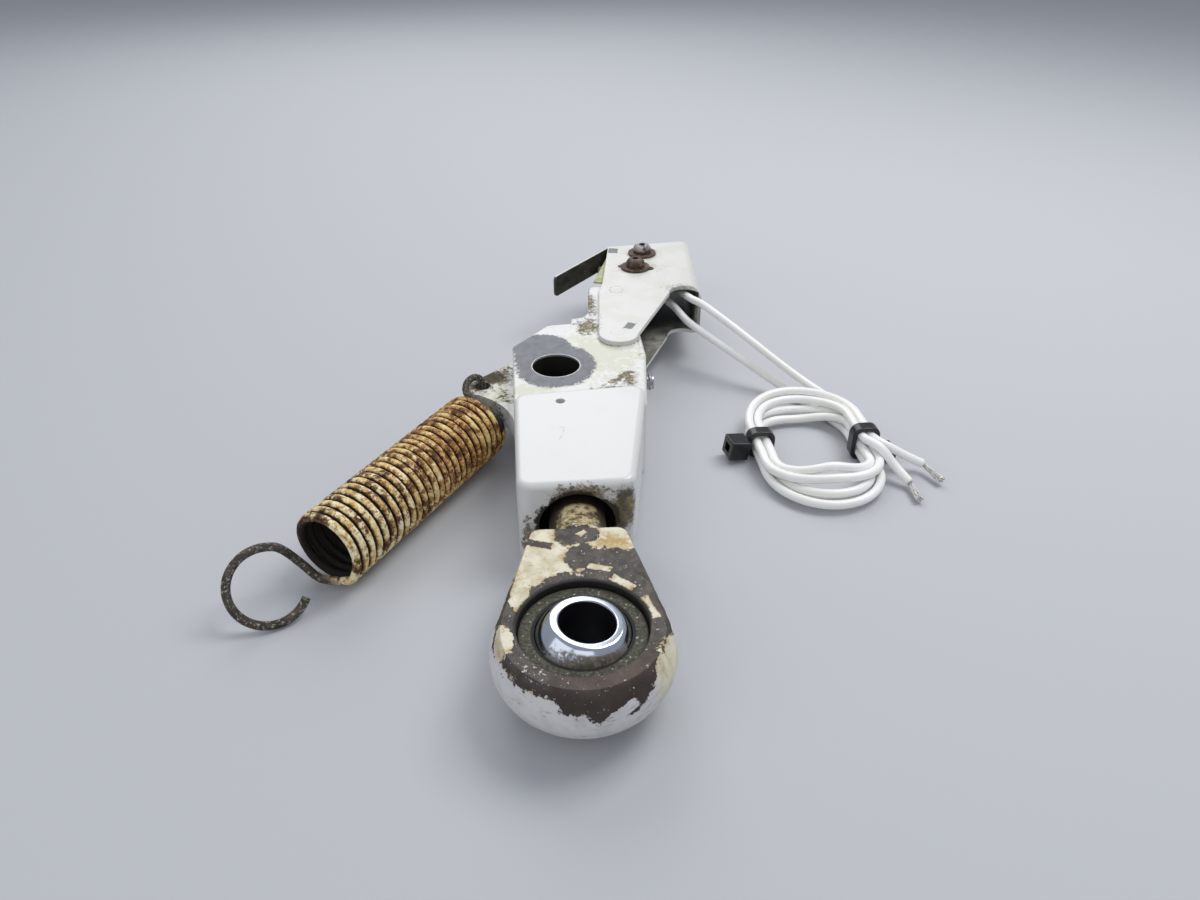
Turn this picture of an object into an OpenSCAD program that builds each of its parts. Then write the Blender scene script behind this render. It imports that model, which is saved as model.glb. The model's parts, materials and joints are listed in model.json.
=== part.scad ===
// Bellcrank link of an aircraft landing gear: a painted crank body that turns on a
// pivot bushing, with a rod end, a return spring and a position switch on a sheet bracket.
// Millimetres. The origin lies on the pivot axis, on the surface that the part rests on.
// +Y runs from the rod end to the switch, +Z is up along the pivot.

/* [Crank body] */
// Thickness of the raised block behind the rod end
block_h = 17; // [15:0.5:20]
// Distance from the pivot to the block's front face
block_front = 42.5; // [38:0.5:50]
// Distance from the pivot to the step at the block's back
block_back = 11.6; // [10.6:0.2:13]
// Height of the step between the block and the pivot land
step_h = 1.2; // [0.6:0.1:2]
// Distance from the pivot to the straight left side
side_left = 8.6; // [8:0.1:11]
// Width of the block's front face to the right of the pivot line
front_right = 11.2; // [10:0.2:13]
// Reach of the land to the right of the pivot
side_right = 18.6; // [17:0.2:21]
// Reach of the land behind the pivot
land_back = 19.5; // [17:0.5:21]
// Rounding of the block's upright corners
corner_r = 2.6; // [1.6:0.2:4]
// Rounding of the block's top and bottom edges
edge_r = 1.2; // [0.4:0.1:1.5]

/* [Pivot] */
// Bore of the pivot bushing
pivot_d = 9.525; // [8:0.025:10]
// Wall of the pivot bushing
bushing_wall = 0.8; // [0.6:0.1:1.2]
// Thread of the grease fitting
fitting_d = 3.4; // [3:0.1:4]
// Head of the grease fitting
fitting_head_d = 4; // [3.6:0.1:4.6]
// How far the grease fitting stands out of the body
fitting_out = 2; // [1.4:0.1:3]

/* [Rod end] */
// Distance from the pivot to the rod end's centre
rod_reach = 70.5; // [66:0.5:78]
// Diameter of the rod end's head
head_d = 26.2; // [24:0.2:29]
// Thickness of the head
head_h = 9.4; // [8.6:0.2:10.4]
// Bulge of the head's side
head_bulge = 1.8; // [1:0.1:2.4]
// Width of the neck's square shoulder
neck_w = 16.9; // [14:0.1:18]
// Distance from the rod end's centre to the shoulder
neck_reach = 22.2; // [21:0.2:24]
// Turn of the rod end in its seat, about the middle of its ball
rod_turn = 2.4; // [0:0.2:3]
// Diameter of the threaded shank
shank_d = 9.4; // [8:0.1:10]
// Diameter of the mouth in the block round the shank
mouth_d = 12.7; // [11.5:0.1:13.5]
// Depth of the mouth
mouth_depth = 7; // [4:0.5:12]
// Outer diameter of the bearing race
race_d = 18.2; // [17:0.1:19]
// Width of the bearing race
race_h = 7.2; // [6.6:0.2:8]
// Diameter of the ball
ball_d = 15.1; // [14.6:0.1:15.6]
// Width of the ball between its flats
ball_w = 11.1; // [10.6:0.1:12]
// Bore of the ball
ball_bore = 7.94; // [6.35:0.01:8.5]
// Tilt of the ball at rest
ball_tilt = 6; // [0:1:10]

/* [Spring] */
// Outer diameter of the coils
spring_d = 13.8; // [12.6:0.2:14.4]
// Wire of the spring
spring_wire = 1.45; // [1.2:0.05:1.5]
// Length of the wound body, between the middles of its end coils
spring_len = 43.4; // [42:0.2:48]
// Number of coils
spring_turns = 25; // [20:1:25]
// Turn of the spring away from the body's length
spring_turn_deg = 32.5; // [32:0.5:38]

/* [Spring ear] */
// Distance of the ear's hole to the left of the pivot
ear_out = 15; // [14.6:0.2:16]
// Distance of the ear's hole behind the pivot
ear_back = 2; // [1:0.1:3]
// Thickness of the ear
ear_h = 4.4; // [3:0.2:5]
// Hole for the spring's hook
ear_hole_d = 3.2; // [2.8:0.1:3.8]

/* [Switch bracket] */
// Sheet of the bracket
sheet = 1; // [0.8:0.1:1.2]
// Gap between the bracket's flanges, which is the arm's thickness
arm_h = 10; // [9:0.2:11]
// Width of the bracket
bracket_w = 23.8; // [23:0.2:26]
// Length of the bracket
bracket_len = 54.6; // [53:0.2:56]
// Turn of the bracket away from the body's length
bracket_turn = 5.3; // [4:0.1:6]
// Rounding of the tongue that lies on the land
tongue_r = 4.2; // [3.8:0.1:4.5]
// Rounding of the notch that lets the leads out
notch_r = 3.75; // [3.4:0.05:4.2]
// Distance from the tongue's end to the middle of the notch
notch_y = 25.5; // [24.5:0.1:26.5]
// Outside radius of the bends
bend_r = 2.2; // [1.6:0.1:3]
// Shank of the rivets
rivet_d = 3.2; // [2.4:0.1:3.6]

/* [Switch] */
// Length of the switch case
case_len = 19.8; // [18:0.1:22]
// Depth of the case from its plunger side to its terminal side
case_w = 9.9; // [9:0.1:11]
// Thickness of the case
case_h = 6.35; // [5.8:0.05:6.8]
// Thickness of the case's cover
cover_h = 1.4; // [1:0.1:2]
// Distance between the two mounting screws
screw_pitch = 9.525; // [8.5:0.025:11]
// Distance from the terminal side to the screws
screw_inset = 2.9; // [2.6:0.1:3.6]
// Turn of the switch in the bracket
switch_turn = 12; // [8:1:16]
// Thread of the mounting screws
screw_d = 2.1; // [1.8:0.1:2.4]
// Head of the mounting screws
screw_head_d = 4.5; // [3.8:0.1:4.8]
// Outside of the washers
washer_d = 7; // [6:0.1:7.4]
// Length of the lever from its pin to its tip
lever_len = 24; // [20:0.2:26]
// Width of the lever's strip
lever_w = 5.2; // [4:0.1:5.4]
// Thickness of the lever
lever_t = 0.5; // [0.4:0.05:0.6]
// Sheet of the insulator between the switch and the bracket
insulator_t = 0.4; // [0.2:0.1:0.6]
// Angle between the lever and the case at rest
lever_angle = 21.7; // [20:0.1:23]

/* [Leads] */
// Diameter of the insulated leads
lead_d = 1.75; // [1.5:0.05:1.8]
// Width across the coil's outside
coil_w = 24; // [23.5:0.5:25]
// Straight length of the coil's sides
coil_side = 13.4; // [12.6:0.2:14]
// Straight length of the opening inside the coil
coil_hole_side = 5; // [4:0.2:6]
// Width of the cable ties
tie_w = 2.5; // [2:0.1:3]
// Thickness of the cable ties' band
tie_t = 0.9; // [0.7:0.1:1]

/* [Hidden] */
$fn = 48;
hull_fn = 24;
// running gap of turned fits, and gap beside parts that only pass by
fit = 0.03;
pass = 0.3;
cut = 1;
body_mid = block_h / 2;
land_h = block_h - step_h;
side_slope = (side_right - front_right) / (block_front + 3);
bushing_d = pivot_d + 2 * bushing_wall;
witness_d = 1.8;
shank_back = block_back + 3;
witness_y = shank_back + 1.6;
step_skew = 0.7;
rod_y = -rod_reach;
arm_z = land_h - arm_h;
arm_back = 31;
arm_left = -2.5;
arm_right = 7.5;
bracket_x = 9.3;
bracket_y = 7.6;
bracket_lean = 2.2;
bracket_jog = 0.8;
jog_y = 26;
jog_len = 5;
corner_cut_r = 1.5;
far_corner_r = 2.8;
rivet_y = [5, 27];
rivet_x = 4;
switch_x = 10.85;
switch_inset = 5.25;
switch_y = bracket_len - switch_inset;
case_top = land_h - insulator_t;
case_z = case_top - case_h;
lug_h = 1.7;
lever_z = case_z + lug_h + pass / 2;
plunger_y = 5.8;
plunger_d = 2.4;
pin_d = 1;
pin_off = 1.9;
pin_in = 0.6;
lug_r = 1.1;
head_t = 2;
washer_t = 0.6;
nut_af = 4.4;
nut_t = 1.6;
coil_x = 50;
coil_y = -14.3;
coil_bundle_w = 3.7;
coil_left_h = 3.7;
coil_right_h = 5.4;
coil_z = tie_t + fit;
tie_left_y = -12;
tie_right_y = -14.6;
bare_d = 1.3;
// routes of the free leads, from the bracket to the coil and from the coil to the ends
upper_route = [[28.8, 49.2, 12.5], [30.6, 45, 12.6], [31.6, 41, 13], [32.4, 36, 14],
    [33.2, 31, 15], [35.2, 27.2, 15.1], [40.2, 22.5, 12.5], [45.1, 17.6, 9.8], [50, 12.8, 7],
    [54.8, 8, 4.6], [58.6, 3.6, 3.2], [61, -1, 2.1], [61.2, -5.4, 1.85]];
lower_route = [[26.8, 42.5, 12.5], [28.2, 38.6, 11.9], [29.8, 34.4, 11.6], [30.6, 30.6, 11.6],
    [32.2, 26.8, 10.9], [36.6, 22.8, 8.8], [41.2, 18.9, 6.6], [45.8, 15, 4.4], [50.4, 10.8, 2.3],
    [53.4, 7, 1.3], [56, 2.6, 1], [58, -2, 1], [59.1, -5.6, 1.3]];
upper_tail = [[61, -16, 5.45], [62.3, -17.5, 5.1], [64, -18.4, 4.4], [66.8, -19.5, 3.2],
    [70.2, -20.9, 1.8]];
lower_tail = [[59.3, -16.2, 5.5], [60.3, -18.7, 5.8], [61.6, -20.6, 5.35], [63.5, -23, 3.2],
    [65.6, -26.2, 1.3]];
upper_tip = [72, -26.2, 1.2];
lower_tip = [65.6, -31.4, 1];

// x of the body's right side at a distance y from the pivot
function right_side(y) = front_right + side_slope * (y + block_front);

// points on an arc between two angles; skip leaves out that many at each end
function arc(c, r, a0, a1, steps = 12, skip = 0) = [for (i = [skip : steps - skip])
    let (a = a0 + (a1 - a0) * i / steps)
    c + r * [cos(a), sin(a)]];

// quarter arc for rounded edges
function edge_arc(r, x, z, a0) = arc([x, z], r, a0, a0 + 90, 4);

function unit(v) = v / norm(v);

// directions along a path of points
function path_tangents(p) = [for (i = [0 : len(p) - 1])
    unit(p[min(i + 1, len(p) - 1)] - p[max(i - 1, 0)])];

// side vectors carried along the path without twist
function path_sides(t) = [for (
    i = 0, n = unit(cross(t[0], abs(t[0].z) < 0.9 ? [0, 0, 1] : [1, 0, 0]));
    i < len(t);
    i = i + 1, n = i < len(t) ? unit(n - t[i] * (n * t[i])) : n) n];

// smooth curve through hand-set points
function curve_point(a, b, c, d, s) = 0.5 * (2 * b + (c - a) * s
    + (2 * a - 5 * b + 4 * c - d) * s * s + (3 * b - 3 * c + d - a) * s * s * s);

function smooth_path(p, steps) = concat([for (i = [0 : len(p) - 2], k = [0 : steps - 1])
    curve_point(p[max(i - 1, 0)], p[i], p[i + 1], p[min(i + 2, len(p) - 1)], k / steps)],
    [p[len(p) - 1]]);

// round tube swept along a path
module tube(path, d, sides = 8) {
    t = path_tangents(path);
    n = path_sides(t);
    rings = len(path);
    points = [for (i = [0 : rings - 1], k = [0 : sides - 1])
        let (a = 360 * k / sides)
        path[i] + d / 2 * (cos(a) * n[i] + sin(a) * cross(t[i], n[i]))];
    walls = [for (i = [0 : rings - 2], k = [0 : sides - 1])
        let (k2 = (k + 1) % sides)
        [i * sides + k, (i + 1) * sides + k, (i + 1) * sides + k2, i * sides + k2]];
    first = [[for (k = [0 : sides - 1]) k]];
    last = [[for (k = [sides - 1 : -1 : 0]) (rings - 1) * sides + k]];
    polyhedron(points, concat(walls, first, last), convexity = 6);
}

// upright column with rounded top and bottom edges
module soft_column(r, h, e) {
    rotate_extrude($fn = hull_fn)
        polygon(concat([[0, 0]], edge_arc(e, r - e, e, -90), edge_arc(e, r - e, h - e, 0), [[0, h]]));
}

// upright column with a bulging side
module barrel_column(r, h, bulge) {
    steps = 8;
    side = [for (i = [0 : steps]) [r - bulge * pow(2 * i / steps - 1, 2), h * i / steps]];
    rotate_extrude()
        polygon(concat([[0, 0]], side, [[0, h]]));
}

// plate with rounded corners and edges through the given corner centres
module soft_plate(centres, r, z0, z1, e) {
    hull()
        for (c = centres)
            translate([c.x, c.y, z0])
                soft_column(r, z1 - z0, e);
}

module at_bracket() {
    translate([bracket_x, bracket_y, 0])
        rotate(-bracket_turn)
            children();
}

// frame of the switch: origin at the far screw, +Y along the case, -X to the plunger side
module at_switch() {
    at_bracket()
        translate([switch_x, switch_y, 0])
            rotate(-switch_turn)
                children();
}

module at_screws() {
    at_switch()
        for (y = [0, -screw_pitch])
            translate([0, y, 0])
                children();
}

module at_rivets() {
    at_bracket()
        for (y = rivet_y)
            translate([rivet_x, y, 0])
                children();
}

// frame of the rod end: origin below the middle of its ball, +Y along the shank
module at_rod() {
    translate([0, rod_y, 0])
        rotate(-rod_turn)
            children();
}

// frame of the spring: origin at the ear's hole, +Y along the coils away from the ear
module at_spring() {
    translate([-ear_out, ear_back, 0])
        rotate(180 - spring_turn_deg)
            children();
}

// crank body with its block, land, arm and ear
module block_form() {
    r = corner_r;
    front = -block_front + r;
    back = -block_back - r;
    soft_plate([[r - side_left, front], [right_side(-block_front) - r, front],
        [right_side(-block_back) - r, back + step_skew], [r - side_left, back - step_skew]],
        r, 0, block_h, edge_r);
}

module land_form() {
    r = 1.6;
    e = 0.5;
    under = 4;
    slant_y = 8.5;
    slant_w = 6.8;
    slant_rise = 0.8;
    left = r - side_left;
    right = side_right - r;
    back = land_back - r;
    soft_plate([[left, -block_back - under], [left, slant_y], [left + slant_w, back - slant_rise],
        [left + 2 * slant_w, back], [right, back], [right, 2 * r],
        [right_side(-block_back) - r, -block_back - under]], r, 0, land_h, e);
}

module arm_form() {
    r = 1.4;
    e = 0.4;
    root = 8;
    at_bracket()
        soft_plate([[arm_left + r, root], [arm_left + r, arm_back - r],
            [arm_right - r, arm_back - r], [arm_right - r, root]], r, arm_z, land_h, e);
}

module arm_fillet() {
    r = 3.5;
    lap = 2;
    rise = 1.2;
    at_bracket()
        translate([arm_left, land_back - bracket_y + rise, arm_z])
            linear_extrude(arm_h)
                difference() {
                    translate([-r, -r])
                        square([r + lap, 2 * r]);
                    translate([-r, r])
                        circle(r);
                }
}

module ear_form() {
    tip_r = 3.4;
    root_r = 1.4;
    root_back = 12;
    root_front = -shank_back;
    scoop_r = 15.3;
    edge = 0.8;
    difference() {
        hull() {
            translate([-ear_out, ear_back, body_mid - ear_h / 2])
                soft_column(tip_r, ear_h, edge);
            for (y = [root_front, root_back])
                translate([root_r - side_left, y, body_mid - ear_h / 2])
                    soft_column(root_r, ear_h, edge);
        }
        translate([-side_left - scoop_r, root_front, 0])
            cylinder(r = scoop_r, h = block_h, $fn = 96);
        translate([-ear_out, ear_back, 0])
            cylinder(d = ear_hole_d, h = block_h);
    }
}

module crank_body() {
    color("whitesmoke")
        difference() {
            union() {
                block_form();
                land_form();
                arm_form();
                arm_fillet();
                ear_form();
            }
            translate([0, 0, -cut])
                cylinder(d = bushing_d + 2 * fit, h = block_h + 2 * cut);
            at_rod()
                translate([0, 0, body_mid])
                    rotate([-90, 0, 0]) {
                        cylinder(d = shank_d + 2 * fit, h = rod_reach - shank_back);
                        cylinder(d = mouth_d, h = rod_reach - block_front + mouth_depth);
                    }
            translate([0, -witness_y, body_mid])
                cylinder(d = witness_d, h = block_h);
            translate([bushing_d / 2, 0, fitting_z()])
                rotate([0, 90, 0])
                    cylinder(d = fitting_d + 2 * fit, h = side_right);
            translate([fitting_seat(), 0, fitting_z()])
                rotate([0, 90, 0])
                    cylinder(d = fitting_head_d + 2 * pass, h = side_right);
            under_pocket();
            at_rivets()
                cylinder(d = rivet_d + 2 * fit, h = block_h);
        }
}

// room below the arm for the bracket's lower flange
module under_pocket() {
    translate([0, 0, -cut])
        linear_extrude(arm_z + cut)
            at_bracket()
                bracket_outline(pass);
}

function fitting_z() = body_mid + 2.5;

// spot face that the fitting's shoulder rests on
function fitting_seat() = right_side(-fitting_head_d / 2 - pass);

module pivot_bushing() {
    oil_hole_d = 1.6;
    color("darkgray")
        difference() {
            cylinder(d = bushing_d, h = land_h);
            translate([0, 0, -cut])
                cylinder(d = pivot_d, h = block_h + 2 * cut);
            translate([0, 0, fitting_z()])
                rotate([0, 90, 0])
                    cylinder(d = oil_hole_d, h = bushing_d);
        }
}

module grease_fitting() {
    seat = fitting_seat() + fit;
    ring = 0.3;
    step = (fitting_out - ring) / 4;
    bore_r = 0.5;
    start = bushing_d / 2 + pass;
    head_r = fitting_head_d / 2;
    groove_r = head_r - 2 * ring;
    color("silver")
        translate([0, 0, fitting_z()])
            rotate([0, 90, 0])
                rotate_extrude()
                    polygon([[bore_r, start], [fitting_d / 2, start], [fitting_d / 2, seat], [head_r, seat],
                        [head_r, seat + step], [groove_r, seat + step + ring], [groove_r, seat + 2 * step],
                        [head_r - ring, seat + 2 * step + ring], [head_r - ring, seat + 3 * step],
                        [groove_r, seat + 3 * step + ring], [groove_r, seat + fitting_out],
                        [bore_r, seat + fitting_out]]);
}

// rod end with its pressed-in bearing
module rod_end_body() {
    shoulder_r = 2.6;
    end_gap = 3;
    root = race_d / 2 + 4;
    z0 = body_mid - head_h / 2;
    color("dimgray")
        at_rod()
            difference() {
                union() {
                    hull() {
                        translate([0, 0, z0])
                            barrel_column(head_d / 2, head_h, head_bulge, $fn = 64);
                        for (x = [-1, 1])
                            translate([x * (neck_w / 2 - shoulder_r), neck_reach - shoulder_r, z0])
                                barrel_column(shoulder_r, head_h, head_bulge / 2, $fn = hull_fn);
                    }
                    translate([0, root, body_mid])
                        rotate([-90, 0, 0])
                            cylinder(d = shank_d, h = rod_reach - shank_back - end_gap - root);
                }
                translate([0, 0, -cut])
                    cylinder(d = race_d + 2 * fit, h = block_h + 2 * cut);
            }
}

module bearing_race() {
    color("darkslategray")
        translate([0, rod_y, body_mid])
            rotate_extrude()
                difference() {
                    translate([0, -race_h / 2])
                        square([race_d / 2, race_h]);
                    circle(d = ball_d + 4 * fit, $fn = 96);
                }
}

module at_ball() {
    translate([0, rod_y, body_mid])
        rotate([0, ball_tilt, 0])
            children();
}

module bearing_ball() {
    color("silver")
        at_ball()
            rotate_extrude()
                intersection() {
                    circle(d = ball_d, $fn = 96);
                    translate([ball_bore / 2, -ball_w / 2])
                        square([ball_d, ball_w]);
                }
}

// return spring, wound in the frame of the ear's hole
coil_r = (spring_d - spring_wire) / 2;
floor_gap = 0.05;
part_turn = 0.18;
spring_z = spring_d / 2 + floor_gap;
spring_side = -3.6;
spring_start = 8.3;
spring_steps = 14;
loop_r = 6.1;
loop_off = 9.5;
loop_mid = [0, spring_start + spring_len + loop_off, 5.6];
loop_out = [-0.591, -0.806, 0];
loop_up = [0.506, -0.372, 0.778];

function helix_point(s) = [spring_side + coil_r * cos(360 * s),
    spring_start + spring_len * (s - 0.5) / (spring_turns + part_turn), spring_z + coil_r * sin(360 * s)];

function loop_point(a) = loop_mid + loop_r * (cos(a) * loop_out + sin(a) * loop_up);

module return_spring() {
    ear_top = body_mid + ear_h / 2;
    ear_bottom = body_mid - ear_h / 2;
    over = ear_top + spring_wire / 2 + pass;
    end = spring_start + spring_len;
    far_hook = [[0.9, 1.2, ear_bottom - 2.4], [0.1, 0.2, ear_bottom - 1.3], [0, 0, ear_bottom + 0.6],
        [0, 0, ear_top - 0.4], [0.2, 0.4, over + 0.8], [0.9, 1.6, over + 1.5], [1.5, 3.1, over + 0.9],
        [0.8, 4.6, over - 0.4], [-1.6, 5.1, over - 1.7], [-4.7, 5.6, over - 2.6],
        [-7.8, 6.6, over - 3.4]];
    coils = [for (i = [0 : spring_steps * spring_turns + 2]) helix_point(0.5 + i / spring_steps)];
    lead_out = [[-3.2, end + 1.7, 2.3], [-1, end + 2.7, 5], [0.5, end + 3.8, 7.7]];
    near_hook = [for (a = [62 : 12 : 336]) loop_point(a)];
    color("peru")
        at_spring()
            tube(concat(smooth_path(far_hook, 3), coils, lead_out, near_hook), spring_wire);
}

// sheet bracket: a folded channel cut to its outline
module bracket_outline(g = 0) {
    far_left = [bracket_lean + corner_cut_r, bracket_len - corner_cut_r];
    far_x = bracket_w - far_corner_r;
    far_right = [far_x, far_left.y + (far_x - far_left.x) * tan(switch_turn)
        + (corner_cut_r - far_corner_r) / cos(switch_turn)];
    square_off = 90 + switch_turn;
    difference() {
        polygon(concat(arc([tongue_r, tongue_r], tongue_r + g, 180, 360),
            [[bracket_w - 2 * notch_r, notch_y], [bracket_w + g, notch_y]],
            arc(far_right, far_corner_r + g, 0, square_off),
            arc(far_left, corner_cut_r + g, square_off, 180),
            [[bracket_jog - g, jog_y + jog_len], [-g, jog_y]]));
        translate([bracket_w - notch_r, notch_y])
            circle(notch_r - g);
    }
}

module channel_profile(w, h, r) {
    square([w - r, h]);
    translate([0, r])
        square([w, h - 2 * r]);
    for (y = [r, h - r])
        translate([w - r, y])
            circle(r);
}

module channel() {
    h = arm_h + 2 * sheet;
    reach = bracket_len + bracket_w * tan(switch_turn);
    translate([0, reach, arm_z - sheet])
        rotate([90, 0, 0])
            linear_extrude(reach)
                difference() {
                    channel_profile(bracket_w, h, bend_r);
                    translate([-cut, sheet])
                        channel_profile(bracket_w - sheet + cut, arm_h, bend_r - sheet);
                }
}

// curved slot that lets the switch turn about its far screw
module slot_outline(half_angle, w) {
    a0 = -90 - half_angle;
    a1 = -90 + half_angle;
    far = [0, 0];
    polygon(concat(arc(far, screw_pitch + w / 2, a0, a1),
        arc(screw_pitch * [cos(a1), sin(a1)], w / 2, a1, a1 + 180, skip = 1),
        arc(far, screw_pitch - w / 2, a1, a0),
        arc(screw_pitch * [cos(a0), sin(a0)], w / 2, a0 + 180, a0 + 360, skip = 1)));
}

module switch_bracket() {
    slot_angle = 20;
    color("white")
        difference() {
            at_bracket()
                intersection() {
                    channel();
                    linear_extrude(2 * block_h)
                        bracket_outline();
                }
            at_switch()
                translate([0, 0, land_h - cut]) {
                    cylinder(d = screw_d + 2 * fit, h = sheet + 2 * cut);
                    linear_extrude(sheet + 2 * cut)
                        slot_outline(slot_angle, screw_d + pass);
                }
            at_rivets()
                cylinder(d = rivet_d + 2 * fit, h = 2 * block_h);
        }
}

module bracket_rivets() {
    tail_t = 0.9;
    tail_r = rivet_d / 2 + 0.8;
    tail_taper = 0.3;
    tail_z = arm_z - sheet;
    color("gainsboro")
        at_rivets()
            rotate_extrude()
                polygon([[0, tail_z - tail_t], [tail_r - tail_taper, tail_z - tail_t], [tail_r, tail_z],
                    [rivet_d / 2, tail_z], [rivet_d / 2, land_h + sheet], [0, land_h + sheet]]);
}

// switch with its lever
function case_end() = (case_len - screw_pitch) / 2;
function case_face() = screw_inset - case_w;

module case_slab(z0, z1) {
    difference() {
        translate([case_face(), case_end() - case_len, z0])
            cube([case_w, case_len, z1 - z0]);
        for (y = [0, -screw_pitch])
            translate([0, y, z0 - cut])
                cylinder(d = screw_d + 2 * fit, h = z1 - z0 + 2 * cut);
    }
}

module at_plunger() {
    at_switch()
        translate([case_face(), case_end() - plunger_y, case_z + (case_h - cover_h) / 2])
            rotate([0, -90, 0])
                children();
}

module switch_case() {
    room = 3;
    color("khaki")
        difference() {
            union() {
                at_switch()
                    case_slab(case_z, case_top - cover_h);
                at_pin()
                    translate([0, 0, case_z]) {
                        cylinder(r = lug_r, h = lug_h);
                        translate([0, -lug_r, 0])
                            cube([pin_off + cut, 2 * lug_r - (lug_r - pin_in), lug_h]);
                    }
            }
            at_plunger()
                translate([0, 0, -room])
                    cylinder(d = plunger_d + 2 * fit, h = room + cut);
            at_pin()
                translate([0, 0, case_z - cut])
                    cylinder(d = pin_d + 2 * fit, h = case_h);
        }
}

module switch_cover() {
    color("darkkhaki")
        at_switch()
            case_slab(case_top - cover_h, case_top);
}

module switch_insulator() {
    overhang = 1.7;
    near_over = 3;
    near = case_end() - case_len - near_over;
    slant = 2;
    lug_y = case_end() - pin_in - slant;
    color("yellowgreen")
        at_switch()
            translate([0, 0, case_top])
                linear_extrude(insulator_t)
                    difference() {
                        polygon([[case_face() - overhang, near], [screw_inset, near],
                            [screw_inset, case_end()], [case_face(), case_end()],
                            [case_face(), lug_y], [case_face() - overhang, lug_y - slant]]);
                        for (y = [0, -screw_pitch])
                            translate([0, y])
                                circle(d = screw_d + 2 * fit);
                    }
}

module switch_plunger() {
    out = pin_off + (plunger_y - pin_in) * tan(lever_angle) + pin_d / 2 / cos(lever_angle) - pass;
    inside = 1.6;
    r = plunger_d / 2;
    e = 0.5;
    color("black")
        at_plunger()
            translate([0, 0, -inside])
                rotate_extrude()
                    polygon(concat([[0, 0], [r, 0]], edge_arc(e, r - e, inside + out - e, 0),
                        [[0, inside + out]]));
}

module at_pin() {
    at_switch()
        translate([case_face() - pin_off, case_end() - pin_in, 0])
            children();
}

module switch_lever() {
    tip_r = 1.1;
    color("dimgray")
        at_pin()
            rotate(-lever_angle)
                difference() {
                    union() {
                        translate([-pin_d / 2, 0, lever_z])
                            rotate([90, 0, -90])
                                linear_extrude(lever_t) {
                                    square([lever_len - tip_r, lever_w]);
                                    translate([0, tip_r])
                                        square([lever_len, lever_w - 2 * tip_r]);
                                    for (y = [tip_r, lever_w - tip_r])
                                        translate([lever_len - tip_r, y])
                                            circle(tip_r);
                                }
                        translate([0, 0, lever_z])
                            cylinder(d = pin_d + 2 * lever_t, h = lever_w);
                    }
                    translate([0, 0, lever_z - cut])
                        cylinder(d = pin_d + 2 * fit, h = lever_w + 2 * cut);
                }
}

module lever_pin() {
    color("silver")
        at_pin()
            translate([0, 0, case_z])
                cylinder(d = pin_d, h = lever_z - case_z + lever_w);
}

module switch_terminals() {
    t = 0.5;
    w = 2;
    out = 3.2;
    pitch_share = 0.35;
    pitch = case_len * pitch_share;
    color("goldenrod")
        at_switch()
            for (y = [-1, 0, 1])
                translate([screw_inset, y * pitch - screw_pitch / 2 - w / 2, case_z + case_h / 2])
                    cube([out, w, t]);
}

module switch_screws() {
    end_out = 0.6;
    end = case_z - nut_t - end_out;
    top = land_h + sheet + washer_t;
    r = screw_head_d / 2;
    e = 0.9;
    color("saddlebrown")
        at_screws()
            rotate_extrude()
                polygon(concat([[0, end], [screw_d / 2, end], [screw_d / 2, top], [r, top]],
                    edge_arc(e, r - e, top + head_t - e, 0), [[0, top + head_t]]));
}

module screw_washers() {
    color("sienna")
        at_screws()
            translate([0, 0, land_h + sheet])
                difference() {
                    cylinder(d = washer_d, h = washer_t);
                    translate([0, 0, -cut])
                        cylinder(d = screw_d + 2 * fit, h = washer_t + 2 * cut);
                }
}

module screw_nuts() {
    color("gray")
        at_screws()
            translate([0, 0, case_z - nut_t])
                difference() {
                    cylinder(d = nut_af / cos(30), h = nut_t, $fn = 6);
                    translate([0, 0, -cut])
                        cylinder(d = screw_d + 2 * fit, h = nut_t + 2 * cut);
                }
}

// leads, coiled and tied
module lead_upper() {
    color("white")
        tube(smooth_path(upper_route, 2), lead_d);
}

module lead_lower() {
    color("white")
        tube(smooth_path(lower_route, 2), lead_d);
}

module tail_upper() {
    color("white")
        tube(smooth_path(upper_tail, 2), lead_d);
}

module tail_lower() {
    color("white")
        tube(smooth_path(lower_tail, 2), lead_d);
}

module tip_upper() {
    color("silver")
        tube([upper_tail[len(upper_tail) - 1], upper_tip], bare_d);
}

module tip_lower() {
    color("silver")
        tube([lower_tail[len(lower_tail) - 1], lower_tip], bare_d);
}

module bundle_profile(w, h, r) {
    square([w, h - 2 * r], center = true);
    square([w - 2 * r, h], center = true);
    for (x = [-1, 1], y = [-1, 1])
        translate([x * (w / 2 - r), y * (h / 2 - r)])
            circle(r);
}

module stadium(r, side) {
    square([2 * r, side], center = true);
    for (y = [-side / 2, side / 2])
        translate([0, y])
            circle(r, $fn = 96);
}

module lead_coil() {
    color("white")
        translate([coil_x, coil_y, coil_z])
            intersection() {
                linear_extrude(coil_right_h)
                    difference() {
                        stadium(coil_w / 2, coil_side);
                        stadium(coil_w / 2 - coil_bundle_w, coil_hole_side);
                    }
                rotate([90, 0, 0])
                    linear_extrude(coil_side + 2 * coil_w, center = true)
                        polygon([[-coil_w / 2, 0], [coil_w / 2, 0], [coil_w / 2, coil_right_h],
                            [-coil_w / 2, coil_left_h]]);
            }
}

// height of the coil at a distance from its left side
function coil_h(x) = coil_left_h + (coil_right_h - coil_left_h) * x / coil_w;

// band round one straight side of the coil, to the left or right of its middle
module tie_band(side, y) {
    grow = tie_t + fit;
    r = 1.2;
    h = coil_h(side < 0 ? coil_bundle_w : coil_w);
    translate([coil_x + side * (coil_w - coil_bundle_w) / 2, y + tie_w / 2, coil_z + h / 2])
        rotate([90, 0, 0])
            linear_extrude(tie_w)
                difference() {
                    bundle_profile(coil_bundle_w + 2 * grow, h + 2 * grow, r);
                    square([coil_bundle_w + 2 * fit, h + 2 * fit], center = true);
                }
}

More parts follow.
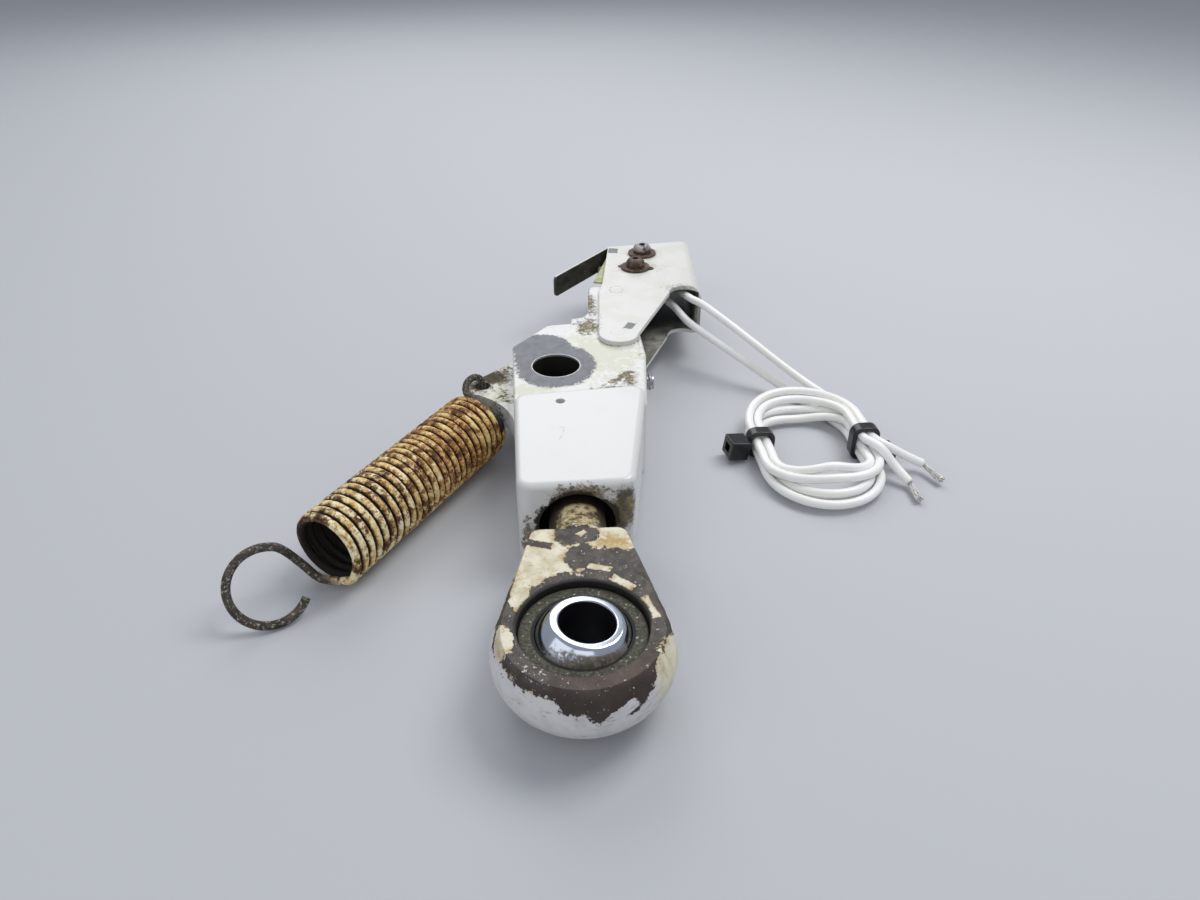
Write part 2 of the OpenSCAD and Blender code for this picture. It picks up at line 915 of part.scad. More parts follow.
module cable_tie_left() {
    head_w = 4.6;
    head_l = 4.4;
    head_h = 4.4;
    head_z = 0.4;
    head_shift = 1.2;
    slot_w = 2.7;
    slot_h = 1.4;
    color("black") {
        tie_band(-1, tie_left_y);
        translate([coil_x - coil_w / 2 - tie_t - fit - head_l, tie_left_y - head_w / 2 - head_shift, head_z])
            difference() {
                cube([head_l, head_w, head_h]);
                translate([-cut, (head_w - slot_w) / 2, (head_h - slot_h) / 2])
                    cube([head_l, slot_w, slot_h]);
            }
    }
}

module cable_tie_right() {
    head_w = 4.6;
    head_l = 3.4;
    head_h = 2.6;
    head_shift = 0.8;
    color("black") {
        tie_band(1, tie_right_y);
        translate([coil_x + coil_w / 2 + tie_t + fit, tie_right_y - head_w / 2 - head_shift, 0])
            cube([head_l, head_w, head_h]);
    }
}

crank_body();
pivot_bushing();
grease_fitting();
rod_end_body();
bearing_race();
bearing_ball();
return_spring();
switch_bracket();
bracket_rivets();
switch_case();
switch_cover();
switch_insulator();
switch_plunger();
switch_lever();
lever_pin();
switch_terminals();
switch_screws();
screw_washers();
screw_nuts();
lead_upper();
lead_lower();
lead_coil();
tail_upper();
tail_lower();
tip_upper();
tip_lower();
cable_tie_left();
cable_tie_right();
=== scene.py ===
# %% [markdown]
# A worn aircraft bellcrank, finished in Blender.
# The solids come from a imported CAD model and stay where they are: this lesson gives them soft
# edges, paint, rust and grease, and it lays the two switch leads at their real length.

# %% Load the solids
import json
import math

import bmesh
import bpy
from mathutils import Matrix, Vector

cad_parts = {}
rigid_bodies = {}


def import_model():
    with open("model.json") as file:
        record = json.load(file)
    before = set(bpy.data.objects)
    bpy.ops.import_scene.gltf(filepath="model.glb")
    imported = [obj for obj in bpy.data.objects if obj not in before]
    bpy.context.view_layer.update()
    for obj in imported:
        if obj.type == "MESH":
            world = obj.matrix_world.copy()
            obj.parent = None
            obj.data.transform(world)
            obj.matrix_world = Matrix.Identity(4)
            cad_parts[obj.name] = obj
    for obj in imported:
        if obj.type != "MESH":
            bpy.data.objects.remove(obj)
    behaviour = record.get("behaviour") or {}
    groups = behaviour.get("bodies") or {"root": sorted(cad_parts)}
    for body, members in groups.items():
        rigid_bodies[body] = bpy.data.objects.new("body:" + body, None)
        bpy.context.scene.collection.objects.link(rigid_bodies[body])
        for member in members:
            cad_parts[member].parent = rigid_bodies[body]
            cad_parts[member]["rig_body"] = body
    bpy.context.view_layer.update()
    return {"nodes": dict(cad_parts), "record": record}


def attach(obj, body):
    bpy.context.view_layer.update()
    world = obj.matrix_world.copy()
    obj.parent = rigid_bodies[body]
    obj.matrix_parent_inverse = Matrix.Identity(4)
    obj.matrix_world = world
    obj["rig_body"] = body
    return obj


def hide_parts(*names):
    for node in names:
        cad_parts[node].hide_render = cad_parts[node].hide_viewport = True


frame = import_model()
MM = 0.001

# %% [markdown]
# The camera stands close above the near end and looks down along the crank.
# Two circles fix it: the pivot bore and the bearing race look flatter or rounder with the tilt.

# %% Camera
CAMERA_PLACE = (-5.9, -158.8, 100.5)
CAMERA_TURN = -5.3
CAMERA_DOWN = 33.5
CAMERA_LENS = 26.85
SENSOR = 36.0

camera_data = bpy.data.cameras.new("camera")
camera_data.lens = CAMERA_LENS
camera_data.sensor_width = SENSOR
camera_data.clip_start = 0.005
camera = bpy.data.objects.new("camera", camera_data)
camera.location = Vector(CAMERA_PLACE) * MM
camera.rotation_euler = (math.radians(90 - CAMERA_DOWN), 0, math.radians(CAMERA_TURN))
bpy.context.collection.objects.link(camera)
bpy.context.scene.camera = camera
print("camera at", tuple(round(v, 4) for v in camera.location))

# %% [markdown]
# A few helpers serve the whole lesson. One draws a smooth curve through given points. One
# sweeps a ring of vertices along it, carrying the ring without twist, as wire is drawn. One makes
# an object from a mesh, and says which body it rides on and which solids it stands for.

# %% Curves, swept wire and pieces


def smooth_path(points, steps=6):
    """Points of a smooth curve through the given ones."""
    out = []
    last = len(points) - 1
    for i in range(last):
        a, b = Vector(points[max(i - 1, 0)]), Vector(points[i])
        c, d = Vector(points[i + 1]), Vector(points[min(i + 2, last)])
        for k in range(steps):
            s = k / steps
            out.append(0.5 * (2 * b + (c - a) * s + (2 * a - 5 * b + 4 * c - d) * s * s
                              + (3 * b - 3 * c + d - a) * s ** 3))
    out.append(Vector(points[-1]))
    return out


def path_length(points):
    """Length along a list of points."""
    return sum((b - a).length for a, b in zip(points, points[1:]))


def new_piece(name, shape, body, slot, *nodes):
    """Object from a bmesh, which rides on a body and stands for CAD nodes."""
    mesh = bpy.data.meshes.new(name)
    shape.to_mesh(mesh)
    shape.free()
    piece = bpy.data.objects.new(name, mesh)
    bpy.context.collection.objects.link(piece)
    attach(piece, body)
    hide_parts(*nodes)
    return piece


def swept_wire(points, radius, sides, shape=None):
    """Bmesh of a round wire along points in millimetres; the radius may be a function of the step."""
    shape = shape or bmesh.new()
    side = None
    rings = []
    for i, point in enumerate(points):
        along = (points[min(i + 1, len(points) - 1)] - points[max(i - 1, 0)]).normalized()
        if side is None:
            side = along.orthogonal()
        side = (side - along * side.dot(along)).normalized()
        up = along.cross(side)
        r = radius(i) if callable(radius) else radius
        ring = []
        for k in range(sides):
            a = 2 * math.pi * k / sides
            ring.append(shape.verts.new((point + r * (side * math.cos(a) + up * math.sin(a))) * MM))
        rings.append(ring)
    for near, far in zip(rings, rings[1:]):
        for k in range(sides):
            m = (k + 1) % sides
            shape.faces.new((near[k], far[k], far[m], near[m]))
    shape.faces.new(rings[0])
    shape.faces.new(rings[-1][::-1])
    bmesh.ops.recalc_face_normals(shape, faces=shape.faces)
    for face in shape.faces:
        face.smooth = len(face.verts) == 4
    return shape


corner = smooth_path([(0, 0, 0), (10, 0, 0), (10, 10, 0)])
print("a corner of 20 mm is", round(path_length(corner), 2), "mm as a smooth curve")

# %% [markdown]
# The other solids keep their shape and only lose their knife edges. A copy of each is welded, its
# flat triangles are joined into whole faces, and the outward edges get a narrow rounded bevel.
# A width of 0 leaves the edges alone: the crank's solid is rounded already. The sheet bracket is
# rounded one long run of edges at a time, because its shortest edges would stop the bevel.

# %% Soft edges
BALL = Vector((0, -70.5, 8.5))
SLOTS = {part["node"]: part["material_slot"] for part in frame["record"]["subparts"]}
WELD = 0.002 * MM
FLAT = math.radians(1)
CREASE = math.radians(35)
SMOOTH = math.radians(40)
BEVEL_STEPS = 2
BARREL_CLEAR, BARREL_ROUND, BARREL_STEPS = 10, 1.1, 5
RUN_LEAST = 5
SOFT_EDGES = {"crank_body": 0.0, "pivot_bushing": 0.15, "grease_fitting": 0.0, "rod_end_body": 0.25,
              "bearing_race": 0.2, "bearing_ball": 0.3, "switch_bracket": 0.15, "bracket_rivets": 0.0,
              "switch_case": 0.2, "switch_cover": 0.2, "switch_insulator": 0.0, "switch_plunger": 0.0,
              "switch_lever": 0.08, "lever_pin": 0.1, "switch_terminals": 0.08, "screw_washers": 0.2,
              "screw_nuts": 0.15}


def sharp_edges(shape):
    """Outward edges that bend more than a crease."""
    return [e for e in shape.edges if e.is_manifold and e.is_convex and e.calc_face_angle() > CREASE]


def long_runs(edges, least):
    """Edges sorted into runs that hang together, without those that span less than a length."""
    left = dict.fromkeys(edges)
    runs = []
    while left:
        run, queue = [], [next(iter(left))]
        del left[queue[0]]
        while queue:
            run.append(queue.pop())
            for other in (e for v in run[-1].verts for e in v.link_edges):
                if other in left:
                    del left[other]
                    queue.append(other)
        start = run[0].verts[0].co
        if max((v.co - start).length for e in run for v in e.verts) > least * MM:
            runs.append(run)
    return runs


def round_off(shape, edges, width, segments=BEVEL_STEPS):
    """Rounded bevel of some edges, width in millimetres."""
    bmesh.ops.bevel(shape, geom=edges, offset=width * MM, affect="EDGES", segments=segments,
                    profile=0.5, material=-1, clamp_overlap=True)


def smooth_faces(piece):
    """Smooth shading that keeps flat faces flat and sharp edges sharp."""
    for face in piece.data.polygons:
        face.use_smooth = True
    piece.data.set_sharp_from_angle(angle=SMOOTH)
    even = piece.modifiers.new("even_faces", "WEIGHTED_NORMAL")
    even.weight = 80
    even.keep_sharp = True


def softened(node, width):
    """Copy of a CAD node with rounded outward edges."""
    source = frame["nodes"][node]
    shape = bmesh.new()
    shape.from_mesh(source.data)
    bmesh.ops.remove_doubles(shape, verts=shape.verts, dist=WELD)
    bmesh.ops.dissolve_limit(shape, angle_limit=FLAT, verts=shape.verts, edges=shape.edges)
    bmesh.ops.recalc_face_normals(shape, faces=shape.faces)
    if node == "rod_end_body":
        rim = [e for e in sharp_edges(shape)
               if all((v.co.xy - BALL.xy * MM).length > BARREL_CLEAR * MM for v in e.verts)]
        round_off(shape, rim, BARREL_ROUND, BARREL_STEPS)
    if node == "switch_bracket":
        for run in long_runs(sharp_edges(shape), RUN_LEAST):
            round_off(shape, run, width)
    elif width:
        round_off(shape, sharp_edges(shape), width)
    piece = new_piece(node + "_soft", shape, source["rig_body"], SLOTS[node], node)
    smooth_faces(piece)
    return piece


soft = [softened(node, width) for node, width in SOFT_EDGES.items()]
print("softened", len(soft), "nodes,", sum(len(piece.data.polygons) for piece in soft), "faces")

# %% [markdown]
# The screws are turned: a profile is spun round each screw's axis, with a socket sunk in the dome.

# %% Screws
SCREWS = ((24.66, 55.74), (21.83, 46.64))
SCREW_PROFILE = ((0, 6.85), (1.05, 6.85), (1.05, 17.4), (2.2, 17.4), (2.25, 17.7), (2.25, 18.2),
                 (2.1, 18.7), (1.8, 19.08), (1.35, 19.32), (0.85, 19.4), (0.62, 19.33), (0.56, 18.7),
                 (0, 18.6))
SPIN_STEPS = 28


def turned_screws():
    """Both screws, spun from one profile."""
    shape = bmesh.new()
    for x, y in SCREWS:
        rim = [shape.verts.new(Vector((x + r, y, z)) * MM) for r, z in SCREW_PROFILE]
        line = [shape.edges.new(pair) for pair in zip(rim, rim[1:])]
        bmesh.ops.spin(shape, geom=rim + line, cent=Vector((x, y, 0)) * MM, axis=(0, 0, 1),
                       angle=2 * math.pi, steps=SPIN_STEPS)
    bmesh.ops.remove_doubles(shape, verts=shape.verts, dist=WELD)
    bmesh.ops.recalc_face_normals(shape, faces=shape.faces)
    piece = new_piece("screws_turned", shape, "crank", "screw", "switch_screws")
    smooth_faces(piece)
    return piece


screws = turned_screws()
print("screws:", len(screws.data.polygons), "faces")

# %% [markdown]
# The ties are bands: two rounded rectangles are bridged into a hoop, and a rounded box is the head.
# The head of the left tie shows the slot that its band was pulled through.

# %% Cable ties
TIE_W, TIE_T = 2.5, 0.9
BAND_HALF, BAND_R = 1.88, 1.0
HEAD_ROUND, HEAD_STEPS = 0.25, 3
HEAD_FACE = 5
SLOT_WALL, SLOT_DEPTH = 0.85, 2.6


def hoop(half_w, half_h, r, steps=8):
    """Points of a rounded rectangle round the origin."""
    points = []
    for k, (sx, sz) in enumerate(((1, 1), (-1, 1), (-1, -1), (1, -1))):
        for i in range(steps + 1):
            a = math.pi / 2 * (k + i / steps)
            points.append((sx * (half_w - r) + r * math.cos(a), sz * (half_h - r) + r * math.sin(a)))
    return points


def sink_slot(shape, place):
    """Slot in the large left face of a head whose middle is given in millimetres."""
    large = [f for f in shape.faces if f.calc_area() > HEAD_FACE * MM * MM]
    face = min(large, key=lambda f: f.calc_center_median().x)
    bmesh.ops.inset_region(shape, faces=[face], thickness=SLOT_WALL * MM, use_even_offset=True)
    inward = (Vector(place) * MM - face.calc_center_median()).normalized() * SLOT_DEPTH * MM
    pushed = bmesh.ops.extrude_face_region(shape, geom=[face])["geom"]
    verts = [v for v in pushed if isinstance(v, bmesh.types.BMVert)]
    bmesh.ops.translate(shape, vec=inward, verts=verts)
    bmesh.ops.delete(shape, geom=[face], context="FACES_ONLY")


def tie(name, node, middle, height, head, slot):
    """Band round a bundle and its head: the head is a place, a size and two turns."""
    shape = bmesh.new()
    outer = hoop(BAND_HALF + TIE_T, height / 2 + TIE_T, BAND_R + TIE_T)
    inner = hoop(BAND_HALF, height / 2, BAND_R)
    walls = []
    for y in (-TIE_W / 2, TIE_W / 2):
        for loop in (outer, inner):
            walls.append([shape.verts.new((Vector(middle) + Vector((x, y, z))) * MM) for x, z in loop])
    for one, two in ((0, 2), (2, 3), (3, 1), (1, 0)):
        for k in range(len(outer)):
            m = (k + 1) % len(outer)
            shape.faces.new((walls[one][k], walls[two][k], walls[two][m], walls[one][m]))
    place, size, turn_z, turn_y = head
    turn = Matrix.Rotation(math.radians(turn_z), 4, "Z") @ Matrix.Rotation(math.radians(turn_y), 4, "Y")
    box = Matrix.Translation(Vector(place) * MM) @ turn @ Matrix.Diagonal((*(Vector(size) * MM), 1))
    bmesh.ops.create_cube(shape, size=1, matrix=box)
    bmesh.ops.recalc_face_normals(shape, faces=shape.faces)
    round_off(shape, sharp_edges(shape), HEAD_ROUND, HEAD_STEPS)
    if slot:
        sink_slot(shape, place)
    bmesh.ops.recalc_face_normals(shape, faces=shape.faces)
    piece = new_piece(name, shape, "crank", "tie", node)
    smooth_faces(piece)
    return piece


tie_left = tie("tie_left", "cable_tie_left", (39.85, -12, 2.91), 4.02,
               ((34.9, -13.1, 2.75), (4.0, 4.2, 3.9), 10, 8), True)
tie_right = tie("tie_right", "cable_tie_right", (60.15, -14.6, 3.63), 5.46,
                ((64.6, -15.4, 1.45), (3.2, 4.4, 2.4), 0, 0), False)
print("ties:", [len(piece.data.polygons) for piece in (tie_left, tie_right)], "faces")

# %% [markdown]
# Each lead is one curve: a run from its switch terminal down to the coil, two turns and a tail.
# The points of the runs and the tails are given in millimetres.

# %% Routes of the leads
UPPER_RUN = [(28.8, 49.2, 12.5), (30.6, 45, 12.6), (31.6, 41, 13), (32.4, 36, 14), (33.2, 31, 15),
             (35.2, 27.2, 15.1), (40.2, 22.5, 12.5), (45.1, 17.6, 9.8), (50, 12.8, 7), (54.8, 8, 4.6),
             (58.6, 3.6, 3.2), (61, -1, 2.1), (61.2, -5.4, 1.85)]
LOWER_RUN = [(26.8, 42.5, 12.5), (28.2, 38.6, 11.9), (29.8, 34.4, 11.6), (30.6, 30.6, 11.6),
             (32.2, 26.8, 10.9), (36.6, 22.8, 8.8), (41.2, 18.9, 6.6), (45.8, 15, 4.4), (50.4, 10.8, 2.3),
             (53.4, 7, 1.3), (56, 2.6, 1), (58, -2, 1), (59.1, -5.6, 1.3)]
UPPER_TAIL = [(61.15, -15.9, 5.46), (61.8, -17.2, 5.3), (63, -18.2, 4.9), (64.8, -19, 4.1),
              (67.2, -19.9, 3), (70.2, -20.9, 1.8)]
LOWER_TAIL = [(59.45, -16.9, 5.65), (60.3, -18.7, 5.8), (61.6, -20.6, 5.35), (63.5, -23, 3.2),
              (65.6, -26.2, 1.3)]
UPPER_TIP = (72, -26.2, 1.2)
LOWER_TIP = (65.6, -31.4, 1)
print("points by hand:", [len(route) for route in (UPPER_RUN, LOWER_RUN, UPPER_TAIL, LOWER_TAIL)])

# %% [markdown]
# The ties hold the turns of the coil in two columns. At the coil's ends the turns spread, so each
# end has its own radius and height per turn.

# %% Turns of the coil
COIL_MID = (50.0, -14.3)
COIL_SIDE = 13.4
COIL_R = 10.1
COLUMN = 0.92
START_Y = -9.0
STOP_Y = -14.6
TURN_POINTS = 32
TURNS = 2
SWELL = 1.4
ROW_RIGHT = (1.84, 3.65, 5.46)
ROW_LEFT = (1.9, 3.72)
UPPER_NEAR = ((1.1, 1.6), (-3.2, 4.5))
UPPER_FAR = ((-1.6, 2.2), (1.5, 5.0))
LOWER_NEAR = ((-0.8, 2.75), (-5.1, 5.9))
LOWER_FAR = ((-4.2, 1.4), (-0.2, 3.9))


def ease(s):
    """Soft step from 0 to 1."""
    return s * s * (3 - 2 * s)


def coil_turns(column, near, far):
    """The turns of one lead, seen from above clockwise, from the right side on."""
    bend = math.pi * COIL_R
    lap = 2 * COIL_SIDE + 2 * bend
    half = COIL_SIDE / 2
    first = COIL_MID[1] + half - START_Y
    total = TURNS * lap + START_Y - STOP_Y
    count = int(TURN_POINTS * total / lap)
    points = []
    for i in range(count + 1):
        turn, d = divmod(first + total * i / count, lap)
        row = int(turn)
        k = min(row, TURNS - 1)
        r = COIL_R + column
        z = ROW_RIGHT[row]
        if d < COIL_SIDE:
            x, y = r, half - d
        elif d < COIL_SIDE + bend:
            a = (d - COIL_SIDE) / COIL_R
            swell = math.sin(a) ** SWELL
            z += (ROW_LEFT[k] - z) * ease(a / math.pi)
            z += (near[k][1] - z) * swell
            r += (near[k][0] - column) * swell
            x, y = r * math.cos(a), -half - r * math.sin(a)
        elif d < 2 * COIL_SIDE + bend:
            x, y, z = -r, d - COIL_SIDE - bend - half, ROW_LEFT[k]
        else:
            a = (d - 2 * COIL_SIDE - bend) / COIL_R
            swell = math.sin(a) ** SWELL
            z = ROW_LEFT[k] + (ROW_RIGHT[k + 1] - ROW_LEFT[k]) * ease(a / math.pi)
            z += (far[k][1] - z) * swell
            r += (far[k][0] - column) * swell
            x, y = -r * math.cos(a), half + r * math.sin(a)
        points.append((COIL_MID[0] + x, COIL_MID[1] + y, z))
    return points


upper_turns = coil_turns(COLUMN, UPPER_NEAR, UPPER_FAR)
lower_turns = coil_turns(-COLUMN, LOWER_NEAR, LOWER_FAR)
print("points in the turns:", len(upper_turns), "and", len(lower_turns))

# %% [markdown]
# A bare end is a bundle of fine tinned strands: an outer and an inner ring of them, twisted a
# little and flattened towards the end, and one strand that has come loose.

# %% Bare ends
STRANDS, OUTER_STRANDS, INNER_STRANDS = 14, 9, 5
OUTER_RING, INNER_RING = 0.42, 0.18
STRAND_R, STRAND_SIDES, STRAND_POINTS = 0.12, 6, 8
TWIST = 2.4
STRAY_STEPS = (0, 0.25, 0.5, 0.75, 0.92)


def bare_end(name, start, end, stray, node):
    """Twisted strands from a lead's last point, with one strand bent away."""
    start, end = Vector(start), Vector(end)
    along = end - start
    side = along.cross(Vector((0, 0, 1))).normalized()
    up = side.cross(along).normalized()
    strands = []
    for k in range(STRANDS):
        outer = k < OUTER_STRANDS
        ring = OUTER_RING if outer else INNER_RING
        turn = 2 * math.pi * (k / OUTER_STRANDS if outer else k / INNER_STRANDS)
        reach = 1 - 0.06 * (k % 3) / 2
        line = []
        for i in range(STRAND_POINTS):
            s = i / (STRAND_POINTS - 1)
            spread = ring * (0.9 + 0.5 * s * s)
            a = turn + TWIST * s
            flat = 0.75 - 0.25 * s
            line.append(start + along * s * reach
                        + spread * (side * math.cos(a) * (1.5 - flat * 0.5) + up * math.sin(a) * flat))
        strands.append(line)
    strands.append([start + along * s + side * stray * s * s + up * 0.3 * math.sin(3 * s)
                    for s in STRAY_STEPS])
    shape = bmesh.new()
    for line in strands:
        swept_wire(smooth_path(line, 2), STRAND_R, STRAND_SIDES, shape)
    return new_piece(name, shape, "crank", "conductor", node)


strands_upper = bare_end("strands_upper", UPPER_TAIL[-1], UPPER_TIP, -1.0, "tip_upper")
strands_lower = bare_end("strands_lower", LOWER_TAIL[-1], LOWER_TIP, 0.3, "tip_lower")
print("strands per end:", STRANDS + 1)

# %% [markdown]
# Run, turns and tail are joined and swept into one piece per lead.

# %% The two leads
LEAD_D = 1.75
LEAD_SIDES = 14


def lay_lead(name, run, turns, tail, nodes):
    """One lead from its terminal to its bare end."""
    points = smooth_path(run + turns + tail)
    piece = new_piece(name, swept_wire(points, LEAD_D / 2, LEAD_SIDES), "crank", "lead", *nodes)


lay_lead("upper_lead", UPPER_RUN, upper_turns, UPPER_TAIL, ["lead_upper", "lead_coil", "tail_upper"])
lay_lead("lower_lead", LOWER_RUN, lower_turns, LOWER_TAIL, ["lead_lower", "lead_coil", "tail_lower"])

# %% [markdown]
# The spring is wound from the same numbers as its solid, with more steps and more sides. Its last
# turns lie a little wider apart. A crust of rust makes the wire of the coils thicker, at the same
# outer diameter, and each stretch of wire is a hair thicker or thinner where rust has eaten it.

# %% The spring
WIRE_D = 1.45
CROWN_D = 1.62
WIRE_SIDES = 12
WIND_D = 13.8
WIND_R = (WIND_D - CROWN_D) / 2
WIND_X, WIND_Y, WIND_Z = -3.6, 8.3, 6.95
WIND_LEN, WIND_TURNS, LAST_PART = 43.4, 25, 0.18
WIND_STEPS, WIRE_STEPS = 14, 3
CLOSE_SHARE, WIDEN = 0.30, 0.012
CRUST_STEPS = 40
EAR = (-15, 2)
EAR_TURN = math.radians(180 - 32.5)
LOOP_R = 6.1
LOOP_MID = Vector((0, 61.2, 5.6))
LOOP_OUT = Vector((-0.591, -0.806, 0))
LOOP_UP = Vector((0.506, -0.372, 0.778))
LOOP_ANGLES = range(62, 336, 12)
FAR_HOOK = [(0.9, 1.2, 3.9), (0.1, 0.2, 5), (0, 0, 6.9), (0, 0, 10.3), (0.2, 0.4, 12.525),
            (0.9, 1.6, 13.225), (1.5, 3.1, 12.625), (0.8, 4.6, 11.325), (-1.6, 5.1, 10.025),
            (-4.7, 5.6, 9.125), (-7.8, 6.6, 8.325)]
LEAD_OUT = [(-3.2, 53.4, 2.3), (-1, 54.4, 5), (0.5, 55.5, 7.7)]


def wind_point(s):
    """Point of the coils after s turns; the last few turns lie wider apart."""
    a = 2 * math.pi * s
    share = (s - 0.5) / (WIND_TURNS + LAST_PART)
    late = min(max((share - CLOSE_SHARE) / (1 - CLOSE_SHARE), 0), 1)
    share -= WIDEN * math.sin(math.pi * late) ** 2
    return (WIND_X + WIND_R * math.cos(a), WIND_Y + WIND_LEN * share, WIND_Z + WIND_R * math.sin(a))


def spring_path():
    """Points of the whole wire, hook to hook, turned to where the spring lies."""
    points = list(FAR_HOOK)
    points += [wind_point(0.5 + i / WIND_STEPS) for i in range(WIND_STEPS * WIND_TURNS + 3)]
    points += LEAD_OUT
    for a in map(math.radians, LOOP_ANGLES):
        points.append(LOOP_MID + LOOP_R * (math.cos(a) * LOOP_OUT + math.sin(a) * LOOP_UP))
    turned = []
    for p in smooth_path(points, WIRE_STEPS):
        turned.append(Vector((EAR[0] + p.x * math.cos(EAR_TURN) - p.y * math.sin(EAR_TURN),
                              EAR[1] + p.x * math.sin(EAR_TURN) + p.y * math.cos(EAR_TURN), p.z)))
    return turned


def eaten(i):
    """Radius of the rusted wire at a step of its path: crusted in the coils, plain in the hooks."""
    first = len(FAR_HOOK) * WIRE_STEPS
    last = first + WIND_STEPS * WIND_TURNS * WIRE_STEPS
    begin = ease(min(max((i - first) / CRUST_STEPS, 0), 1))
    end = ease(min(max((last - i) / CRUST_STEPS, 0), 1))
    r = (WIRE_D + (CROWN_D - WIRE_D) * begin * end) / 2
    return r * (0.985 + 0.012 * math.sin(i * 0.37) + 0.008 * math.sin(i * 1.13 + 1))


wire = spring_path()
spring = new_piece("spring_wire", swept_wire(wire, eaten, WIRE_SIDES), "spring", "spring", "return_spring")
print("wire of", round(path_length(wire)), "mm,", len(spring.data.polygons), "faces")

# %% [markdown]
# A plain pale floor, four soft lights and a pale blue sky stand in for a studio.

# %% Floor and light
FLOOR_SIZE = 3
FLOOR_Z = -0.02
LIGHTS = {"key": ((240, 90, 420), (0, -20, 0), 260, 1.25),
          "back": ((-60, 430, 380), (0, -10, 0), 380, 1.1),
          "fill": ((-380, -220, 300), (0, -20, 0), 400, 0.4),
          "front": ((-20, -420, 260), (0, -30, 0), 320, 0.25)}

floor_mesh = bpy.data.meshes.new("floor")
shape = bmesh.new()
bmesh.ops.create_grid(shape, x_segments=1, y_segments=1, size=FLOOR_SIZE)
shape.to_mesh(floor_mesh)
shape.free()
floor = bpy.data.objects.new("floor", floor_mesh)
floor.location.z = FLOOR_Z * MM
bpy.context.collection.objects.link(floor)
floor_paint = bpy.data.materials.new("floor_paint")
floor_paint.use_nodes = True
floor_surface = floor_paint.node_tree.nodes["Principled BSDF"]
floor_surface.inputs["Base Color"].default_value = (0.50, 0.51, 0.53, 1)
floor_surface.inputs["Roughness"].default_value = 0.85
floor_mesh.materials.append(floor_paint)


def soft_light(name, place, target, size, watts):
    """Square area light that points from its place at a target, in millimetres."""
    data = bpy.data.lights.new(name, "AREA")
    data.size = size * MM
    data.energy = watts
    light = bpy.data.objects.new(name, data)
    light.location = Vector(place) * MM
    aim = Vector(target) - Vector(place)
    light.rotation_euler = aim.to_track_quat("-Z", "Y").to_euler()
    bpy.context.collection.objects.link(light)


for name, settings in LIGHTS.items():
    soft_light(name, *settings)
world = bpy.data.worlds.new("studio")
world.use_nodes = True
sky = world.node_tree.nodes["Background"]
sky.inputs["Color"].default_value = (0.75, 0.8, 0.9, 1)
sky.inputs["Strength"].default_value = 0.46
bpy.context.scene.world = world
bpy.context.scene.view_settings.view_transform = "Standard"
print("lights:", ", ".join(LIGHTS))

# %% [markdown]
# Each finish is a small network of nodes on Object coordinates, which are metres in the crank's
# own frame. A helper keeps the networks short. Its masks are fields: distances and noises, joined
# and cut, which a soft step turns into 0 and 1.

# %% Shader helper


